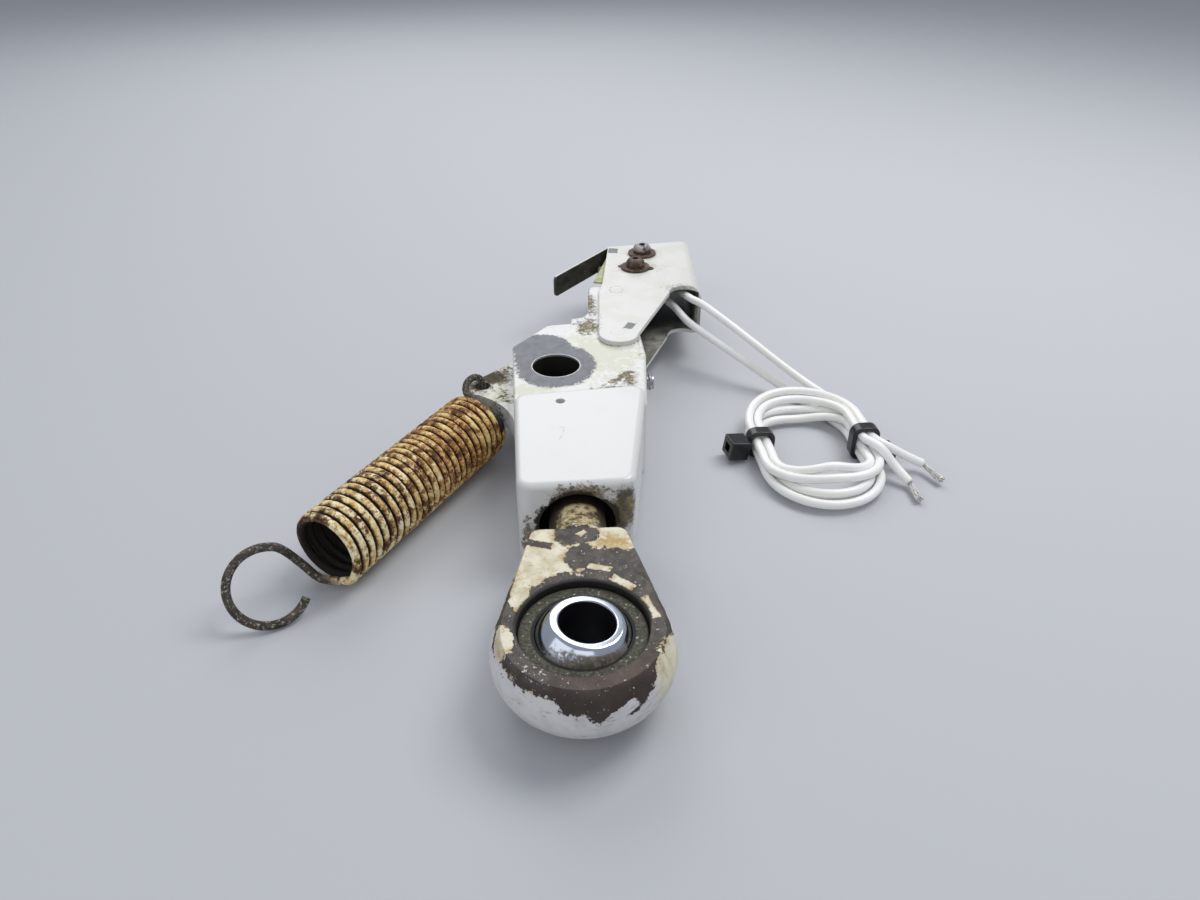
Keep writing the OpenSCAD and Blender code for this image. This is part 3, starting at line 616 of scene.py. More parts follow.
class Finish:
    """One procedural material that is built node by node."""

    def __init__(self, name):
        self.material = bpy.data.materials.new(name)
        self.material.use_nodes = True
        self.tree = self.material.node_tree
        self.surface = self.tree.nodes["Principled BSDF"]
        self.place = self.add("ShaderNodeTexCoord").outputs["Object"]

    def add(self, kind, **settings):
        """New node of a kind, with its settings."""
        node = self.tree.nodes.new(kind)
        for key, value in settings.items():
            setattr(node, key, value)
        return node

    def put(self, value, socket):
        """Links an output, or sets a number or colour."""
        if isinstance(value, bpy.types.NodeSocket):
            self.tree.links.new(value, socket)
        elif isinstance(value, tuple) and len(value) == 3 and socket.type == "RGBA":
            socket.default_value = (*value, 1)
        else:
            socket.default_value = value

    def math(self, operation, a, b=0.0):
        """One operation on two fields or numbers."""
        node = self.add("ShaderNodeMath", operation=operation)
        self.put(a, node.inputs[0])
        self.put(b, node.inputs[1])
        return node.outputs[0]

    def times(self, first, *others):
        """Product of fields or numbers."""
        for other in others:
            first = self.math("MULTIPLY", first, other)
        return first

    def plus(self, a, b):
        """Sum of two fields or numbers."""
        return self.math("ADD", a, b)

    def minus(self, a, b):
        """Difference of two fields or numbers."""
        return self.math("SUBTRACT", a, b)

    def union(self, first, *others):
        """Field that is high where any of the fields is."""
        for other in others:
            first = self.math("MAXIMUM", first, other)
        return first

    def cut(self, field, *holes):
        """Field without the places where the holes are high."""
        for hole in holes:
            field = self.math("MINIMUM", field, self.times(hole, -1.0))
        return field

    def ragged(self, field, noise, amount):
        """Field with its outline broken by noise."""
        return self.plus(field, self.times(self.minus(noise, 0.5), 2 * amount))

    def step(self, value, low, high):
        """0 below low, 1 above high, smooth between; low may be the larger."""
        node = self.add("ShaderNodeMapRange", interpolation_type="SMOOTHSTEP")
        self.put(value, node.inputs["Value"])
        flip = low > high
        node.inputs["From Min"].default_value = min(low, high)
        node.inputs["From Max"].default_value = max(low, high)
        node.inputs["To Min"].default_value = 1.0 if flip else 0.0
        node.inputs["To Max"].default_value = 0.0 if flip else 1.0
        return node.outputs["Result"]

    def noise(self, size_mm, detail=4.0, roughness=0.6, stretch=None):
        """Noise whose largest blotches are about size_mm across."""
        node = self.add("ShaderNodeTexNoise")
        vector = self.place
        if stretch:
            mapping = self.add("ShaderNodeMapping")
            mapping.inputs["Scale"].default_value = stretch
            self.put(self.place, mapping.inputs["Vector"])
            vector = mapping.outputs["Vector"]
        self.put(vector, node.inputs["Vector"])
        node.inputs["Scale"].default_value = 1 / (size_mm * MM)
        node.inputs["Detail"].default_value = detail
        node.inputs["Roughness"].default_value = roughness
        return node.outputs["Fac"]

    def vector(self, operation, a, b=None):
        """One operation on vectors; a is an output, b a constant."""
        node = self.add("ShaderNodeVectorMath", operation=operation)
        self.put(a, node.inputs[0])
        if b is not None:
            node.inputs[1].default_value = b
        return node.outputs["Value" if operation in ("LENGTH", "DOT_PRODUCT") else "Vector"]

    def offset(self, point):
        """Vector from a point in millimetres."""
        return self.vector("SUBTRACT", self.place, Vector(point) * MM)

    def axis(self, name):
        """One coordinate in millimetres."""
        split = self.add("ShaderNodeSeparateXYZ")
        self.put(self.place, split.inputs[0])
        return self.times(split.outputs[name], 1 / MM)

    def away(self, point, scale=(1, 1, 1)):
        """Distance from a point in millimetres, with each axis weighted."""
        return self.vector("LENGTH", self.vector("MULTIPLY", self.offset(point), Vector(scale) / MM))

    def from_axis(self, point, direction):
        """Distance in millimetres from a line through a point."""
        unit = Vector(direction).normalized() / MM
        return self.vector("LENGTH", self.vector("CROSS_PRODUCT", self.offset(point), unit))

    def along(self, point, direction):
        """Distance in millimetres along a direction, from a point."""
        return self.vector("DOT_PRODUCT", self.offset(point), Vector(direction).normalized() / MM)

    def blob(self, point, radii):
        """1 at a point, 0 on an ellipsoid round it, below 0 outside; a radius of 0 leaves an axis out."""
        return self.minus(1.0, self.away(point, tuple(1 / r if r else 0 for r in radii)))

    def flake(self, point, direction, across, half_length, half_width):
        """Like blob, for a rectangle that lies along one direction and across another."""
        u = self.math("DIVIDE", self.math("ABSOLUTE", self.along(point, direction)), half_length)
        v = self.math("DIVIDE", self.math("ABSOLUTE", self.along(point, across)), half_width)
        return self.minus(1.0, self.union(u, v))

    def chip(self, point, degrees, half_length, half_width):
        """Flake on a level face, turned from the X axis."""
        a = math.radians(degrees)
        return self.flake(point, (math.cos(a), math.sin(a), 0), (-math.sin(a), math.cos(a), 0),
                          half_length, half_width)

    def mix(self, factor, a, b, kind="RGBA"):
        """Colour between a and b."""
        node = self.add("ShaderNodeMix", data_type=kind)
        self.put(factor, node.inputs["Factor"])
        self.put(a, node.inputs["A"])
        self.put(b, node.inputs["B"])
        return node.outputs["Result"]

    def blend(self, factor, a, b):
        """Number between a and b."""
        return self.mix(factor, a, b, "FLOAT")

    def done(self, colour, roughness=0.5, metallic=0.0, height=None, depth_mm=0.05):
        """The material, with its networks linked to the surface."""
        self.put(colour, self.surface.inputs["Base Color"])
        self.put(roughness, self.surface.inputs["Roughness"])
        self.put(metallic, self.surface.inputs["Metallic"])
        if height is not None:
            bump = self.add("ShaderNodeBump")
            bump.inputs["Strength"].default_value = 1.0
            bump.inputs["Distance"].default_value = depth_mm * MM
            self.put(height, bump.inputs["Height"])
            self.put(bump.outputs["Normal"], self.surface.inputs["Normal"])
        return self.material


def dress(material, *names):
    """Gives CAD nodes or pieces one finish."""
    for name in names:
        piece = bpy.data.objects.get(name + "_soft") or bpy.data.objects[name]
        piece.data.materials.clear()
        piece.data.materials.append(material)
    print(material.name, "of", len(material.node_tree.nodes), "nodes on", ", ".join(names))


# %% [markdown]
# The crank is painted gloss white. The paint is gone where a washer turned on the land, and grease
# has settled in the corners, on the ear and in the mouth that the rod end screws into. Shade is painted
# nearly black far in the mouth, round the shank, and as a thin line round the tongue's edge on the land.

# %% White paint of the crank
WHITE = (0.68, 0.675, 0.655)
BARE = (0.125, 0.132, 0.145)
GRIME = (0.030, 0.022, 0.012)
ROD_TURN = math.radians(2.4)
STAINS = [((7.4, 17.4, 15.8), (3.0, 5.0, 4)), ((9.2, 29, 15.0), (1.7, 9, 3.0)),
          ((14.2, -7.4, 15.8), (2.2, 3.6, 0.9)), ((10.6, -10.2, 15.8), (5.2, 1.1, 0.9)),
          ((-15.2, 2.6, 10), (4.4, 4.6, 3.4)), ((-10.6, 6, 10), (3.4, 6, 3)),
          ((-10.6, -3, 8.6), (3.0, 5, 3)), ((18.2, 2, 11), (2, 4, 5)), ((2, -42.6, 15.2), (6, 1.6, 1.8)),
          ((-7.6, -42.6, 6), (2.2, 1.6, 5)), ((7.4, 33, 13), (1.6, 7, 4))]
CRACK = [((0, -26.2, 17), 80, 1.3), ((-0.6, -28.45, 17), 69, 1.15), ((-0.3, -25.3, 17), 20, 0.6)]
VEILS = [((9, 4, 15.8), (13, 16, 1.4)), ((-6, -9.4, 15.8), (7, 3, 1.4)), ((-12, 0, 9), (7, 14, 7))]


def bare_metal(f, fine, mid, on_land):
    """Mask of the metal that a washer has rubbed bare on the land."""
    disc = f.union(f.blob((-0.3, 0.2, 0), (8.3, 9.2, 0)), f.blob((-2.6, 7.0, 0), (6.4, 7.2, 0)))
    worn = f.step(f.ragged(f.ragged(disc, fine, 0.26), mid, 0.10), -0.02, 0.05)
    edge_left = f.step(f.ragged(f.along((-8.0, 0, 0), (1, 0.08, 0)), fine, 2.2), -0.2, 0.5)
    edge_far = f.step(f.ragged(f.along((-4.5, 14.6, 0), (0.62, -0.78, 0)), fine, 2.6), -0.2, 0.7)
    return f.times(worn, on_land, edge_left, edge_far)


def soil_and_shade_mask(f, fine, mid, on_land, grease):
    """Mask of the dirt and of a painted shade line: stains, grease and a smear, and a ring of painted shade
    round the tongue's edge on the land.
    """
    stains = [f.blob(place, radii) for place, radii in STAINS]
    level = f.minus(f.times(on_land, 2.0), 1.0)
    smear = f.math("MINIMUM", f.chip((12.4, -6.2, 15.8), 48, 4.8, 1.2), level)
    # painted shade: a thin dark ring on the land round the tongue's edge
    ring = f.math("ABSOLUTE", f.minus(f.away((13.9, 11.4, 15.8), (1, 1, 0)), 4.4))
    ring = f.times(f.step(ring, 0.8, 0.1), on_land)
    soil_and_shade = f.union(*stains, f.times(grease, 2.0), smear, f.minus(f.times(ring, 1.3), 1.0))
    reach = f.step(f.ragged(soil_and_shade, mid, 0.5), -0.45, 0.05)
    soil_and_shade = f.step(f.ragged(f.ragged(f.times(soil_and_shade, 0.9), fine, 1.3), mid, 1.0), 0.10, 0.55)
    return f.times(soil_and_shade, reach)


def crank_paint():
    f = Finish("crank_paint")
    fine = f.noise(0.7, 7, 0.75)
    mid = f.noise(2.6, 7, 0.72)
    broad = f.noise(8, 4, 0.6)
    height = f.axis("Z")
    on_land = f.times(f.step(height, 15.2, 15.5), f.step(height, 16.4, 16.1))
    bare = bare_metal(f, fine, mid, on_land)
    grease = f.union(f.blob((-13.4, 5.6, 10.7), (4.6, 3.8, 3)), f.blob((-15.4, 2.4, 10.7), (2.9, 2.9, 3)))
    soil_and_shade = soil_and_shade_mask(f, fine, mid, on_land, grease)
    mouth = f.from_axis(BALL, (math.sin(ROD_TURN), math.cos(ROD_TURN), 0))
    front = f.step(f.axis("Y"), -30, -32)
    # painted shade: far in the mouth, round the shank, the crank is painted nearly black
    hollow_shade = f.times(f.step(mouth, 6.5, 6.38), front)
    rim = f.times(f.step(f.ragged(f.ragged(mouth, mid, 2.6), fine, 1.6), 7.5, 6.7), front)
    veil = f.union(*[f.blob(place, radii) for place, radii in VEILS], -1.0)
    veil = f.times(f.step(f.ragged(f.ragged(veil, mid, 1.6), fine, 0.8), 0.0, 0.7), 0.6)
    film = f.times(f.step(broad, 0.45, 0.75), 0.2)
    specks = f.times(f.step(f.noise(0.5, 2, 0.5), 0.73, 0.78), 0.4)
    amber = f.union(f.blob((9.2, -42.6, 11.2), (3.5, 2.2, 5.6)), -1.0)
    amber = f.times(f.step(f.ragged(f.ragged(amber, mid, 0.7), fine, 0.4), 0.0, 0.5), 0.95)
    crack = f.union(*[f.chip(place, turn, length, 0.09) for place, turn, length in CRACK])
    crack = f.times(f.step(f.ragged(crack, fine, 0.6), 0.0, 0.5), f.step(height, 16.8, 16.9), 0.6)
    colour = f.mix(film, WHITE, (0.61, 0.605, 0.57))
    colour = f.mix(f.union(specks, crack), colour, (0.40, 0.37, 0.30))
    colour = f.mix(veil, colour, (0.50, 0.49, 0.31))
    oil = f.mix(f.step(mid, 0.36, 0.60), (0.20, 0.135, 0.032), (0.036, 0.026, 0.010))
    colour = f.mix(amber, colour, oil)
    # dirt colours, which also colour the painted shade ring round the tongue's edge
    dirt = f.mix(f.step(fine, 0.34, 0.62), (0.36, 0.30, 0.16), (0.075, 0.055, 0.028))
    colour = f.mix(f.times(soil_and_shade, 0.9), colour, dirt)
    slick = f.step(f.ragged(f.ragged(grease, fine, 0.5), mid, 0.4), 0.15, 0.6)
    colour = f.mix(f.union(rim, f.times(slick, 0.85)), colour, GRIME)
    colour = f.mix(bare, colour, f.mix(f.step(mid, 0.3, 0.7), BARE, (0.19, 0.20, 0.215)))
    # colour of the painted shade in the mouth
    mouth_shade_colour = f.mix(f.step(fine, 0.5, 0.7), (0.014, 0.010, 0.006), (0.06, 0.04, 0.018))
    colour = f.mix(hollow_shade, colour, mouth_shade_colour)
    dirt_and_shade = f.union(soil_and_shade, rim, hollow_shade)
    rough = f.blend(bare, f.blend(dirt_and_shade, 0.26, 0.85), 0.5)
    lumps = f.plus(f.times(bare, -0.8), f.times(broad, 0.2))
    lumps = f.plus(lumps, f.times(dirt_and_shade, fine, 0.8))
    return f.done(colour, rough, f.times(bare, 0.35), lumps, 0.06)


dress(crank_paint(), "crank_body")

# %% [markdown]
# The bracket has the same paint, a little yellower. It is chipped in two places and stained with rust
# round the screws, and shade is painted dark inside the fold. The bushing is dull steel with a painted
# highlight at its lip and painted shade down its bore.

# %% Painted bracket and bushing
SHEET_SIDE = (0.9957, -0.0924, 0)
SHEET_START = (9.3, 7.6, 0)


def sheet_paint():
    f = Finish("sheet_paint")
    fine = f.noise(0.7, 7, 0.75)
    mid = f.noise(2.6, 7, 0.72)
    height = f.axis("Z")
    top = f.step(height, 15.9, 16.2)
    chips = f.union(f.chip((16.6, 14.6, 16.8), 62, 1.6, 1.0), f.chip((17.6, 58.6, 16.8), 80, 1.7, 1.25))
    chips = f.times(f.step(f.ragged(chips, fine, 0.5), 0.02, 0.12), top)
    ring = f.math("ABSOLUTE", f.minus(f.away((15.75, 34.1, 16.8), (1, 0.8, 0)), 1.55))
    ring = f.times(f.step(f.ragged(ring, fine, 0.9), 0.28, 0.02), top, 0.4)
    across = f.along(SHEET_START, SHEET_SIDE)
    # painted shade: inside the fold the bracket is painted dim, and nearly black far in
    inside = f.times(f.step(across, 23.4, 23.2), f.step(height, 15.84, 15.8), f.step(height, 5.7, 5.78))
    deep_shade = f.step(f.away((33, 24, 7), (1, 1, 1.6)), 9, 17)
    lip = f.union(f.blob((30.5, 33.5, 16), (4.5, 3.5, 2.2)), -1.0)
    lip = f.times(f.step(f.ragged(lip, fine, 2.0), 0.1, 0.6), 0.6)
    slot = f.union(f.blob((22.2, 47.2, 16.8), (7.2, 4.0, 2)), f.blob((24.6, 56.2, 16.8), (5.0, 4.6, 2)), -1.0)
    rusted = f.times(f.step(f.ragged(slot, mid, 1.2), -0.1, 0.7), 0.6)
    edge = f.union(f.blob((9.6, 20, 16.8), (2.2, 12, 2)), -1.0)
    grimy = f.times(f.step(f.ragged(edge, fine, 1.6), 0.3, 0.8), 0.4)
    film = f.times(f.step(f.noise(8, 5, 0.65), 0.40, 0.65), 0.5)
    specks = f.times(f.step(f.noise(0.5, 2, 0.5), 0.79, 0.83), 0.4)
    colour = f.mix(film, (0.69, 0.68, 0.645), (0.605, 0.595, 0.51))
    colour = f.mix(specks, colour, (0.34, 0.32, 0.27))
    colour = f.mix(rusted, colour, (0.42, 0.32, 0.20))
    colour = f.mix(f.union(ring, grimy), colour, (0.30, 0.29, 0.25))
    colour = f.mix(lip, colour, (0.24, 0.21, 0.16))
    colour = f.mix(chips, colour, f.mix(f.step(fine, 0.3, 0.7), (0.15, 0.155, 0.15), (0.26, 0.265, 0.255)))
    fold_shade = f.mix(f.step(mid, 0.34, 0.66), (0.42, 0.41, 0.36), (0.15, 0.14, 0.11))
    fold_shade = f.mix(deep_shade, fold_shade, (0.012, 0.011, 0.009))
    colour = f.mix(inside, colour, fold_shade)
    rough = f.blend(f.union(inside, chips), 0.3, 0.6)
    return f.done(colour, rough, 0.0, f.ragged(f.times(chips, -2.0), mid, 1.0), 0.04)


def worn_bushing_and_painted_light():
    f = Finish("worn_bushing_and_painted_light")
    grain = f.noise(0.6, 6, 0.7)
    bore = f.from_axis((0, 0, 0), (0, 0, 1))
    colour = f.mix(f.step(grain, 0.3, 0.7), (0.11, 0.112, 0.12), (0.20, 0.205, 0.215))
    # painted highlight: a bright lip at the edge of the bore
    colour = f.mix(f.step(f.ragged(bore, grain, 0.35), 4.98, 4.86), colour, (0.55, 0.55, 0.55))
    # painted shade: the bore is nearly black below the land
    colour = f.mix(f.step(f.axis("Z"), 15.55, 15.3), colour, (0.03, 0.028, 0.024))
    return f.done(colour, 0.45, 0.5, grain, 0.02)


dress(sheet_paint(), "switch_bracket", "bracket_rivets")
dress(worn_bushing_and_painted_light(), "pivot_bushing")

# %% [markdown]
# The rod end has lost most of its paint. Ellipses and rectangles joined and cut from each other draw the
# islands that are left, noise tears their outlines, and the thin rim of each island is stained orange.
# Shade is painted too: nearly black on the far side of the head's bore round the race, and darker on the
# shank's lower sides and further in the mouth.

# %% Flaked rod end


def paint_left(f, torn, shred, height, crest):
    """Field of the paint that is left: on the neck, in islands round the race and on the barrel."""
    neck = f.union(f.blob((-5.2, -55.0, 0), (6.0, 8.8, 0)), f.blob((2, -50.2, 0), (11, 3.8, 0)),
                   f.blob((6.4, -52.4, 0), (5.4, 2.6, 0)))
    neck = f.cut(neck, f.blob((0.3, -50.5, 0), (3.4, 2.4, 0)), f.chip((-5.5, -52.5, 0), -20, 2.0, 0.7),
                 f.blob((0.5, -56.2, 0), (2.2, 2.7, 0)), f.chip((6.4, -56.9, 0), -2, 6.2, 2.1),
                 f.times(f.blob(BALL, (10.9, 10.9, 0)), 3.0))
    islands = f.union(f.chip((3.3, -58.7, 0), -20, 1.8, 0.6), f.chip((6.4, -62.3, 0), -42, 2.2, 0.75),
                      f.chip((9.5, -67.7, 0), -74, 2.2, 0.75), f.blob((-10.9, -72.0, 0), (1.5, 2.9, 0)),
                      f.chip((1.4, -50.4, 0), 40, 0.8, 0.5), f.blob((-8.5, -63.6, 0), (1.6, 4.0, 0)))
    tongue = f.flake((4.0, -82, 9.5), (0.90, 0, 0.44), (-0.44, 0, 0.90), 2.2, 0.9)
    tongue = f.math("MINIMUM", tongue, f.along((0, -79, 0), (0, -1, 0)))
    dip = f.step(f.away((3.2, -82.4, 0), (1, 1, 0)), 9.5, 1.5)
    brim = f.plus(f.times(dip, -2.7), f.times(crest, 1.3))
    wall = f.times(f.minus(f.plus(brim, 11.7), height), 0.35)
    field = f.union(f.ragged(neck, torn, 0.9), f.ragged(wall, torn, 1.0), f.ragged(islands, torn, 0.7),
                    f.ragged(tongue, torn, 0.8))
    return f.ragged(field, shred, 0.32)


def old_paint(f, torn, shred, height, crest, field):
    """Colour of the old paint: cream above, whiter and scuffed on the barrel, orange at its rims."""
    stain = f.times(f.step(field, 0.50, 0.05), f.step(f.noise(1.6, 6, 0.7), 0.40, 0.60))
    orange = f.union(f.blob((5.6, -52.8, 0), (4.6, 2.0, 0)), -1.0)
    orange = f.step(f.ragged(f.ragged(orange, torn, 1.6), shred, 0.8), 0.0, 0.7)
    cream = f.mix(f.step(f.noise(3.2, 6, 0.7), 0.40, 0.66), (0.72, 0.68, 0.52), (0.52, 0.46, 0.29))
    cream = f.mix(f.union(f.times(stain, 0.8), orange), cream, (0.46, 0.29, 0.075))
    cream = f.mix(f.times(f.step(shred, 0.60, 0.68), 0.5), cream, (0.16, 0.12, 0.06))
    low = f.times(f.step(height, 12.4, 11.0), f.minus(1.0, crest))
    white = f.mix(f.step(f.noise(3, 5, 0.65), 0.45, 0.75), (0.67, 0.655, 0.665), (0.56, 0.54, 0.525))
    cream = f.mix(low, cream, white)
    scuffs = f.times(low, f.step(f.noise(2.2, 7, 0.78, (0.5, 0.5, 2.4)), 0.565, 0.63))
    return f.mix(f.times(scuffs, 0.6), cream, (0.20, 0.16, 0.13))


def brown_metal(f, height):
    """Colour of the bare head: browner at the near end, darker towards the bottom, with pale specks."""
    steel = f.mix(f.step(f.noise(2.6, 7, 0.72), 0.34, 0.68), (0.048, 0.041, 0.036), (0.130, 0.110, 0.096))
    rusty = f.step(f.away((4, -80, 11), (0.6, 1, 1)), 8, 3)
    steel = f.mix(f.times(rusty, 0.55), steel, (0.085, 0.052, 0.038))
    steel = f.mix(f.times(f.step(height, 13.6, 11.8), 0.6), steel, (0.030, 0.022, 0.017))
    grit = f.times(f.step(f.away((-6, -77, 13), (0.7, 1, 1)), 6, 1), 0.06)
    specks = f.step(f.plus(f.noise(0.5, 3, 0.55), grit), 0.665, 0.70)
    return f.mix(f.times(specks, 0.85), steel, (0.62, 0.60, 0.53))


def flaked_paint():
    f = Finish("flaked_paint")
    torn = f.noise(2.0, 8, 0.72)
    shred = f.noise(0.75, 6, 0.75)
    height = f.axis("Z")
    crest = f.step(f.away((11.8, -76.4, 0), (1, 1, 0)), 5.5, 2.5)
    field = paint_left(f, torn, shred, height, crest)
    shank = f.step(f.axis("Y"), -47.9, -47.5)
    thread = f.mix(f.step(torn, 0.42, 0.58), (0.10, 0.065, 0.025), (0.62, 0.52, 0.30))
    # painted shade: the shank is darker on its lower sides and further in the mouth
    thread = f.mix(f.step(f.ragged(height, shred, 2.0), 12.6, 11.4), thread, (0.045, 0.030, 0.015))
    thread = f.mix(f.step(f.axis("Y"), -43.4, -42.4), thread, (0.030, 0.021, 0.011))
    # painted shade: nearly black on the far side of the head's bore wall round the race
    seat_shade = f.plus(f.from_axis(BALL, (0, 0, 1)), f.step(f.axis("Y"), -68, -76))
    seat_shade = f.step(f.ragged(seat_shade, shred, 0.5), 9.9, 9.5)
    paint = f.times(f.step(field, 0.0, 0.035), f.minus(1.0, shank), f.minus(1.0, seat_shade))
    metal = f.mix(shank, f.mix(seat_shade, brown_metal(f, height), (0.013, 0.011, 0.008)), thread)
    colour = f.mix(paint, metal, old_paint(f, torn, shred, height, crest, field))
    rough = f.blend(paint, 0.58, 0.36)
    lumps = f.plus(paint, f.times(shred, 0.55))
    return f.done(colour, rough, f.blend(f.union(paint, shank), 0.3, 0.0), lumps, 0.18)


dress(flaked_paint(), "rod_end_body")

# %% [markdown]
# The race is packed with greenish grit, and the ball in it is polished, with dirt along its lower side.
# Distance from an axis draws the painted shade: dark rings where the race sits in the head and at its
# lip against the ball, and the dark bore of the ball.

# %% Bearing
BALL_LEAN = math.radians(6)


def gritty_race_and_shade():
    f = Finish("gritty_race_and_shade")
    grain = f.noise(0.5, 6, 0.78)
    patch = f.noise(2.6, 6, 0.7)
    colour = f.mix(f.step(grain, 0.36, 0.68), (0.032, 0.031, 0.022), (0.15, 0.148, 0.11))
    colour = f.mix(f.times(f.step(patch, 0.45, 0.68), 0.55), colour, (0.085, 0.082, 0.045))
    colour = f.mix(f.step(f.noise(0.5, 2, 0.5), 0.67, 0.72), colour, (0.62, 0.62, 0.50))
    ring = f.from_axis(BALL, (0, 0, 1))
    # painted shade: dark rings where the race sits in the head and at its lip against the ball
    colour = f.mix(f.step(f.ragged(ring, grain, 0.5), 8.75, 9.0), colour, (0.010, 0.009, 0.007))
    colour = f.mix(f.step(ring, 7.4, 7.1), colour, (0.014, 0.012, 0.009))
    return f.done(colour, 0.6, 0.3, grain, 0.18)


def polished_ball():
    f = Finish("polished_ball")
    bore = f.from_axis(BALL, (math.sin(BALL_LEAN), 0, math.cos(BALL_LEAN)))
    # painted shade: the bore of the ball is painted nearly black
    hollow_shade = f.step(bore, 4.12, 4.0)
    grain = f.noise(0.8, 7, 0.75)
    low = f.union(f.blob((1.6, -77.0, 10.6), (8.2, 3.8, 3.8)), -1.0)
    dirt = f.times(f.step(f.ragged(low, grain, 1.3), -0.25, 0.30), f.step(bore, 5.6, 5.9))
    haze = f.times(f.step(f.noise(2.5, 5, 0.65), 0.48, 0.78), 0.25)
    colour = f.mix(haze, (0.60, 0.64, 0.72), (0.42, 0.40, 0.36))
    colour = f.mix(dirt, colour, f.mix(f.step(grain, 0.35, 0.65), (0.035, 0.03, 0.022), (0.24, 0.21, 0.16)))
    colour = f.mix(hollow_shade, colour, (0.010, 0.010, 0.012))
    rough = f.blend(hollow_shade, f.blend(dirt, 0.14, 0.6), 0.35)
    return f.done(colour, rough, f.blend(f.union(dirt, hollow_shade), 1.0, 0.15))


dress(gritty_race_and_shade(), "bearing_race")
dress(polished_ball(), "bearing_ball")

# %% [markdown]
# The spring is bare wire, rusted in blotches and streaks. The gaps and the inner sides of the coils are
# painted nearly black as shade. The crowns are painted gold and cream, partly as worn rust and partly as
# highlight, most on the side turned to the key light. The hooks are dark oily steel with pale specks.

# %% Rusty spring
SPRING_AXIS = (-math.sin(EAR_TURN), math.cos(EAR_TURN), 0)
SPRING_START = (EAR[0] + WIND_X * math.cos(EAR_TURN), EAR[1] + WIND_X * math.sin(EAR_TURN), WIND_Z)


def rusty_wire_and_painted_light():
    f = Finish("rusty_wire_and_painted_light")
    blotch = f.noise(3.4, 7, 0.74)
    streak = f.noise(1.5, 7, 0.72)
    fine = f.noise(0.5, 6, 0.75)
    out = f.from_axis(SPRING_START, SPRING_AXIS)
    run = f.along(SPRING_START, SPRING_AXIS)
    front = f.step(f.ragged(run, streak, 0.7), 51.2, 51.9)
    crown = f.union(f.step(f.ragged(out, streak, 0.6), 6.44, 6.80), front)
    # painted light: the side of the coils turned to the key light is painted lighter
    lit = f.step(f.along(SPRING_START, (0.62, -0.5, 0.6)), -2, 5.5)
    near = f.step(run, 18, 48)
    rust = f.mix(f.step(blotch, 0.38, 0.60), (0.075, 0.030, 0.008), (0.33, 0.125, 0.022))
    rust = f.mix(f.step(streak, 0.47, 0.60), rust, (0.60, 0.28, 0.055))
    gold = f.mix(f.step(fine, 0.36, 0.62), (0.68, 0.44, 0.12), (0.86, 0.69, 0.32))
    # the crowns are painted gold and cream, partly as worn rust and partly as painted highlight
    rubbed = f.plus(f.times(lit, 0.07), f.times(near, 0.03))
    rubbed = f.times(crown, f.step(f.plus(blotch, rubbed), 0.53, 0.66))
    colour = f.mix(rubbed, rust, gold)
    pale = f.plus(f.times(near, 0.09), f.times(lit, 0.03))
    pale = f.times(crown, f.step(f.plus(streak, pale), 0.60, 0.70))
    colour = f.mix(pale, colour, (0.93, 0.84, 0.57))
    colour = f.mix(f.times(crown, f.step(fine, 0.59, 0.67)), colour, (0.90, 0.83, 0.62))
    # painted shade: nearly black in the gaps and on the inner sides of the coils
    gap_shade = f.times(f.step(f.ragged(out, streak, 0.25), 6.64, 6.36), f.minus(1.0, front))
    colour = f.mix(gap_shade, colour, (0.010, 0.006, 0.003))
    hook = f.union(f.step(f.ragged(run, streak, 1.5), 52.5, 53.8), f.step(run, 7.2, 5.2))
    steel = f.mix(f.step(blotch, 0.35, 0.65), (0.026, 0.022, 0.018), (0.095, 0.074, 0.054))
    steel = f.mix(f.times(f.step(fine, 0.54, 0.63), 0.75), steel, (0.58, 0.54, 0.47))
    colour = f.mix(hook, colour, steel)
    return f.done(colour, f.blend(rubbed, 0.72, 0.5), 0.15, f.plus(fine, streak), 0.14)


dress(rusty_wire_and_painted_light(), "spring_wire")

# %% [markdown]
# The switch's screws are brown with rust, the far one with a painted highlight on its dome, and their
# sockets painted dark as shade. Its lever is a dark leaf of steel with a bright upper rim, and a sheet of
# green insulator shows at the edge of the case, painted dark as shade further in.

# %% Screws, lever and insulator


def brown_steel():
    f = Finish("brown_steel")
    blotch = f.noise(1.4, 7, 0.75)
    fine = f.noise(0.5, 6, 0.75)
    colour = f.mix(f.step(blotch, 0.35, 0.65), (0.035, 0.024, 0.019), (0.14, 0.088, 0.062))
    colour = f.mix(f.step(fine, 0.56, 0.68), colour, (0.34, 0.28, 0.23))
    dome = f.step(f.axis("Z"), 17.9, 18.5)
    far = f.step(f.away((*SCREWS[0], 19)), 3.4, 2.4)
    # painted highlight: the far screw's dome is painted lighter in blotches
    worn = f.times(far, dome, f.step(blotch, 0.38, 0.56))
    colour = f.mix(worn, colour, (0.42, 0.40, 0.37))
    sockets = f.math("MINIMUM", *[f.away((*screw, 0), (1, 1, 0)) for screw in SCREWS])
    # painted shade: the sockets are painted nearly black
    colour = f.mix(f.times(f.step(sockets, 0.85, 0.7), dome), colour, (0.012, 0.009, 0.007))
    return f.done(colour, 0.5, 0.4, f.plus(blotch, fine), 0.14)


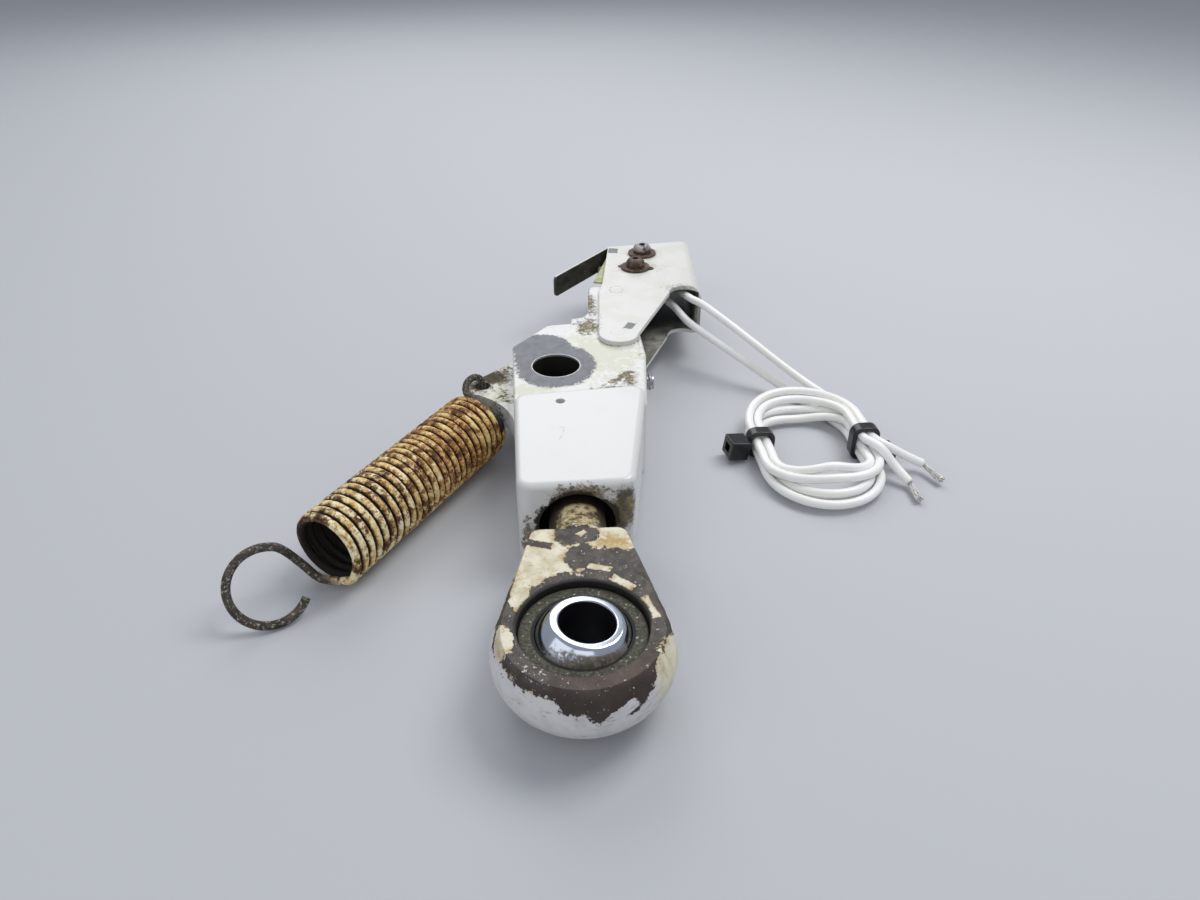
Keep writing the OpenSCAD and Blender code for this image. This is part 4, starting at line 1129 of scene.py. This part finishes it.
def dark_leaf():
    f = Finish("dark_leaf")
    smear = f.noise(4.0, 5, 0.65)
    colour = f.mix(f.step(smear, 0.3, 0.7), (0.040, 0.038, 0.031), (0.115, 0.11, 0.088))
    colour = f.mix(f.step(f.noise(0.5, 3, 0.5), 0.68, 0.72), colour, (0.45, 0.43, 0.36))
    rim = f.step(f.axis("Z"), 15.9, 16.0)
    colour = f.mix(f.times(rim, 0.9), colour, (0.60, 0.60, 0.57))
    return f.done(colour, f.blend(smear, 0.3, 0.5), 0.5, smear, 0.01)


def green_sheet():
    f = Finish("green_sheet")
    across = f.along(SHEET_START, SHEET_SIDE)
    colour = f.mix(f.step(f.noise(1.5, 5, 0.65), 0.35, 0.65), (0.30, 0.31, 0.13), (0.48, 0.49, 0.27))
    # painted shade: further in from its edge the insulator is painted nearly black
    colour = f.mix(f.step(across, 2.6, 4.0), colour, (0.012, 0.010, 0.008))
    return f.done(colour)


dress(brown_steel(), "screws_turned", "screw_washers", "screw_nuts")
dress(dark_leaf(), "switch_lever")
dress(green_sheet(), "switch_insulator")

# %% [markdown]
# The small parts are plain: white gloss insulation, black nylon, plastic, turned steel and brass.
# One finish in two tones serves them all.

# %% Small finishes


def speckled(name, dark, light, size_mm, rough, metallic, depth_mm):
    """Two tones in fine blotches, for small plain parts."""
    f = Finish(name)
    grain = f.noise(size_mm, 4, 0.6)
    colour = f.mix(f.step(grain, 0.35, 0.65), dark, light)
    return f.done(colour, rough, metallic, grain, depth_mm)


dress(speckled("white_insulation", (0.88, 0.87, 0.82), (0.94, 0.94, 0.935), 11, 0.30, 0.0, 0.0),
      "upper_lead", "lower_lead")
dress(speckled("black_nylon", (0.008, 0.008, 0.009), (0.016, 0.016, 0.018), 1, 0.28, 0.0, 0.01),
      "tie_left", "tie_right")
dress(speckled("greasy_button", (0.05, 0.04, 0.02), (0.55, 0.50, 0.34), 0.9, 0.5, 0.0, 0.02),
      "switch_plunger")
dress(speckled("tinned_strands", (0.45, 0.44, 0.42), (0.72, 0.71, 0.69), 0.5, 0.35, 0.8, 0.02),
      "strands_upper", "strands_lower")
dress(speckled("switch_plastic", (0.06, 0.055, 0.045), (0.11, 0.10, 0.08), 1.5, 0.5, 0.0, 0.01),
      "switch_case", "switch_cover")
dress(speckled("turned_steel", (0.30, 0.30, 0.31), (0.55, 0.55, 0.56), 0.8, 0.3, 1.0, 0.01),
      "grease_fitting", "lever_pin")
dress(speckled("dull_brass", (0.42, 0.33, 0.16), (0.60, 0.50, 0.28), 0.8, 0.4, 0.9, 0.01),
      "switch_terminals")
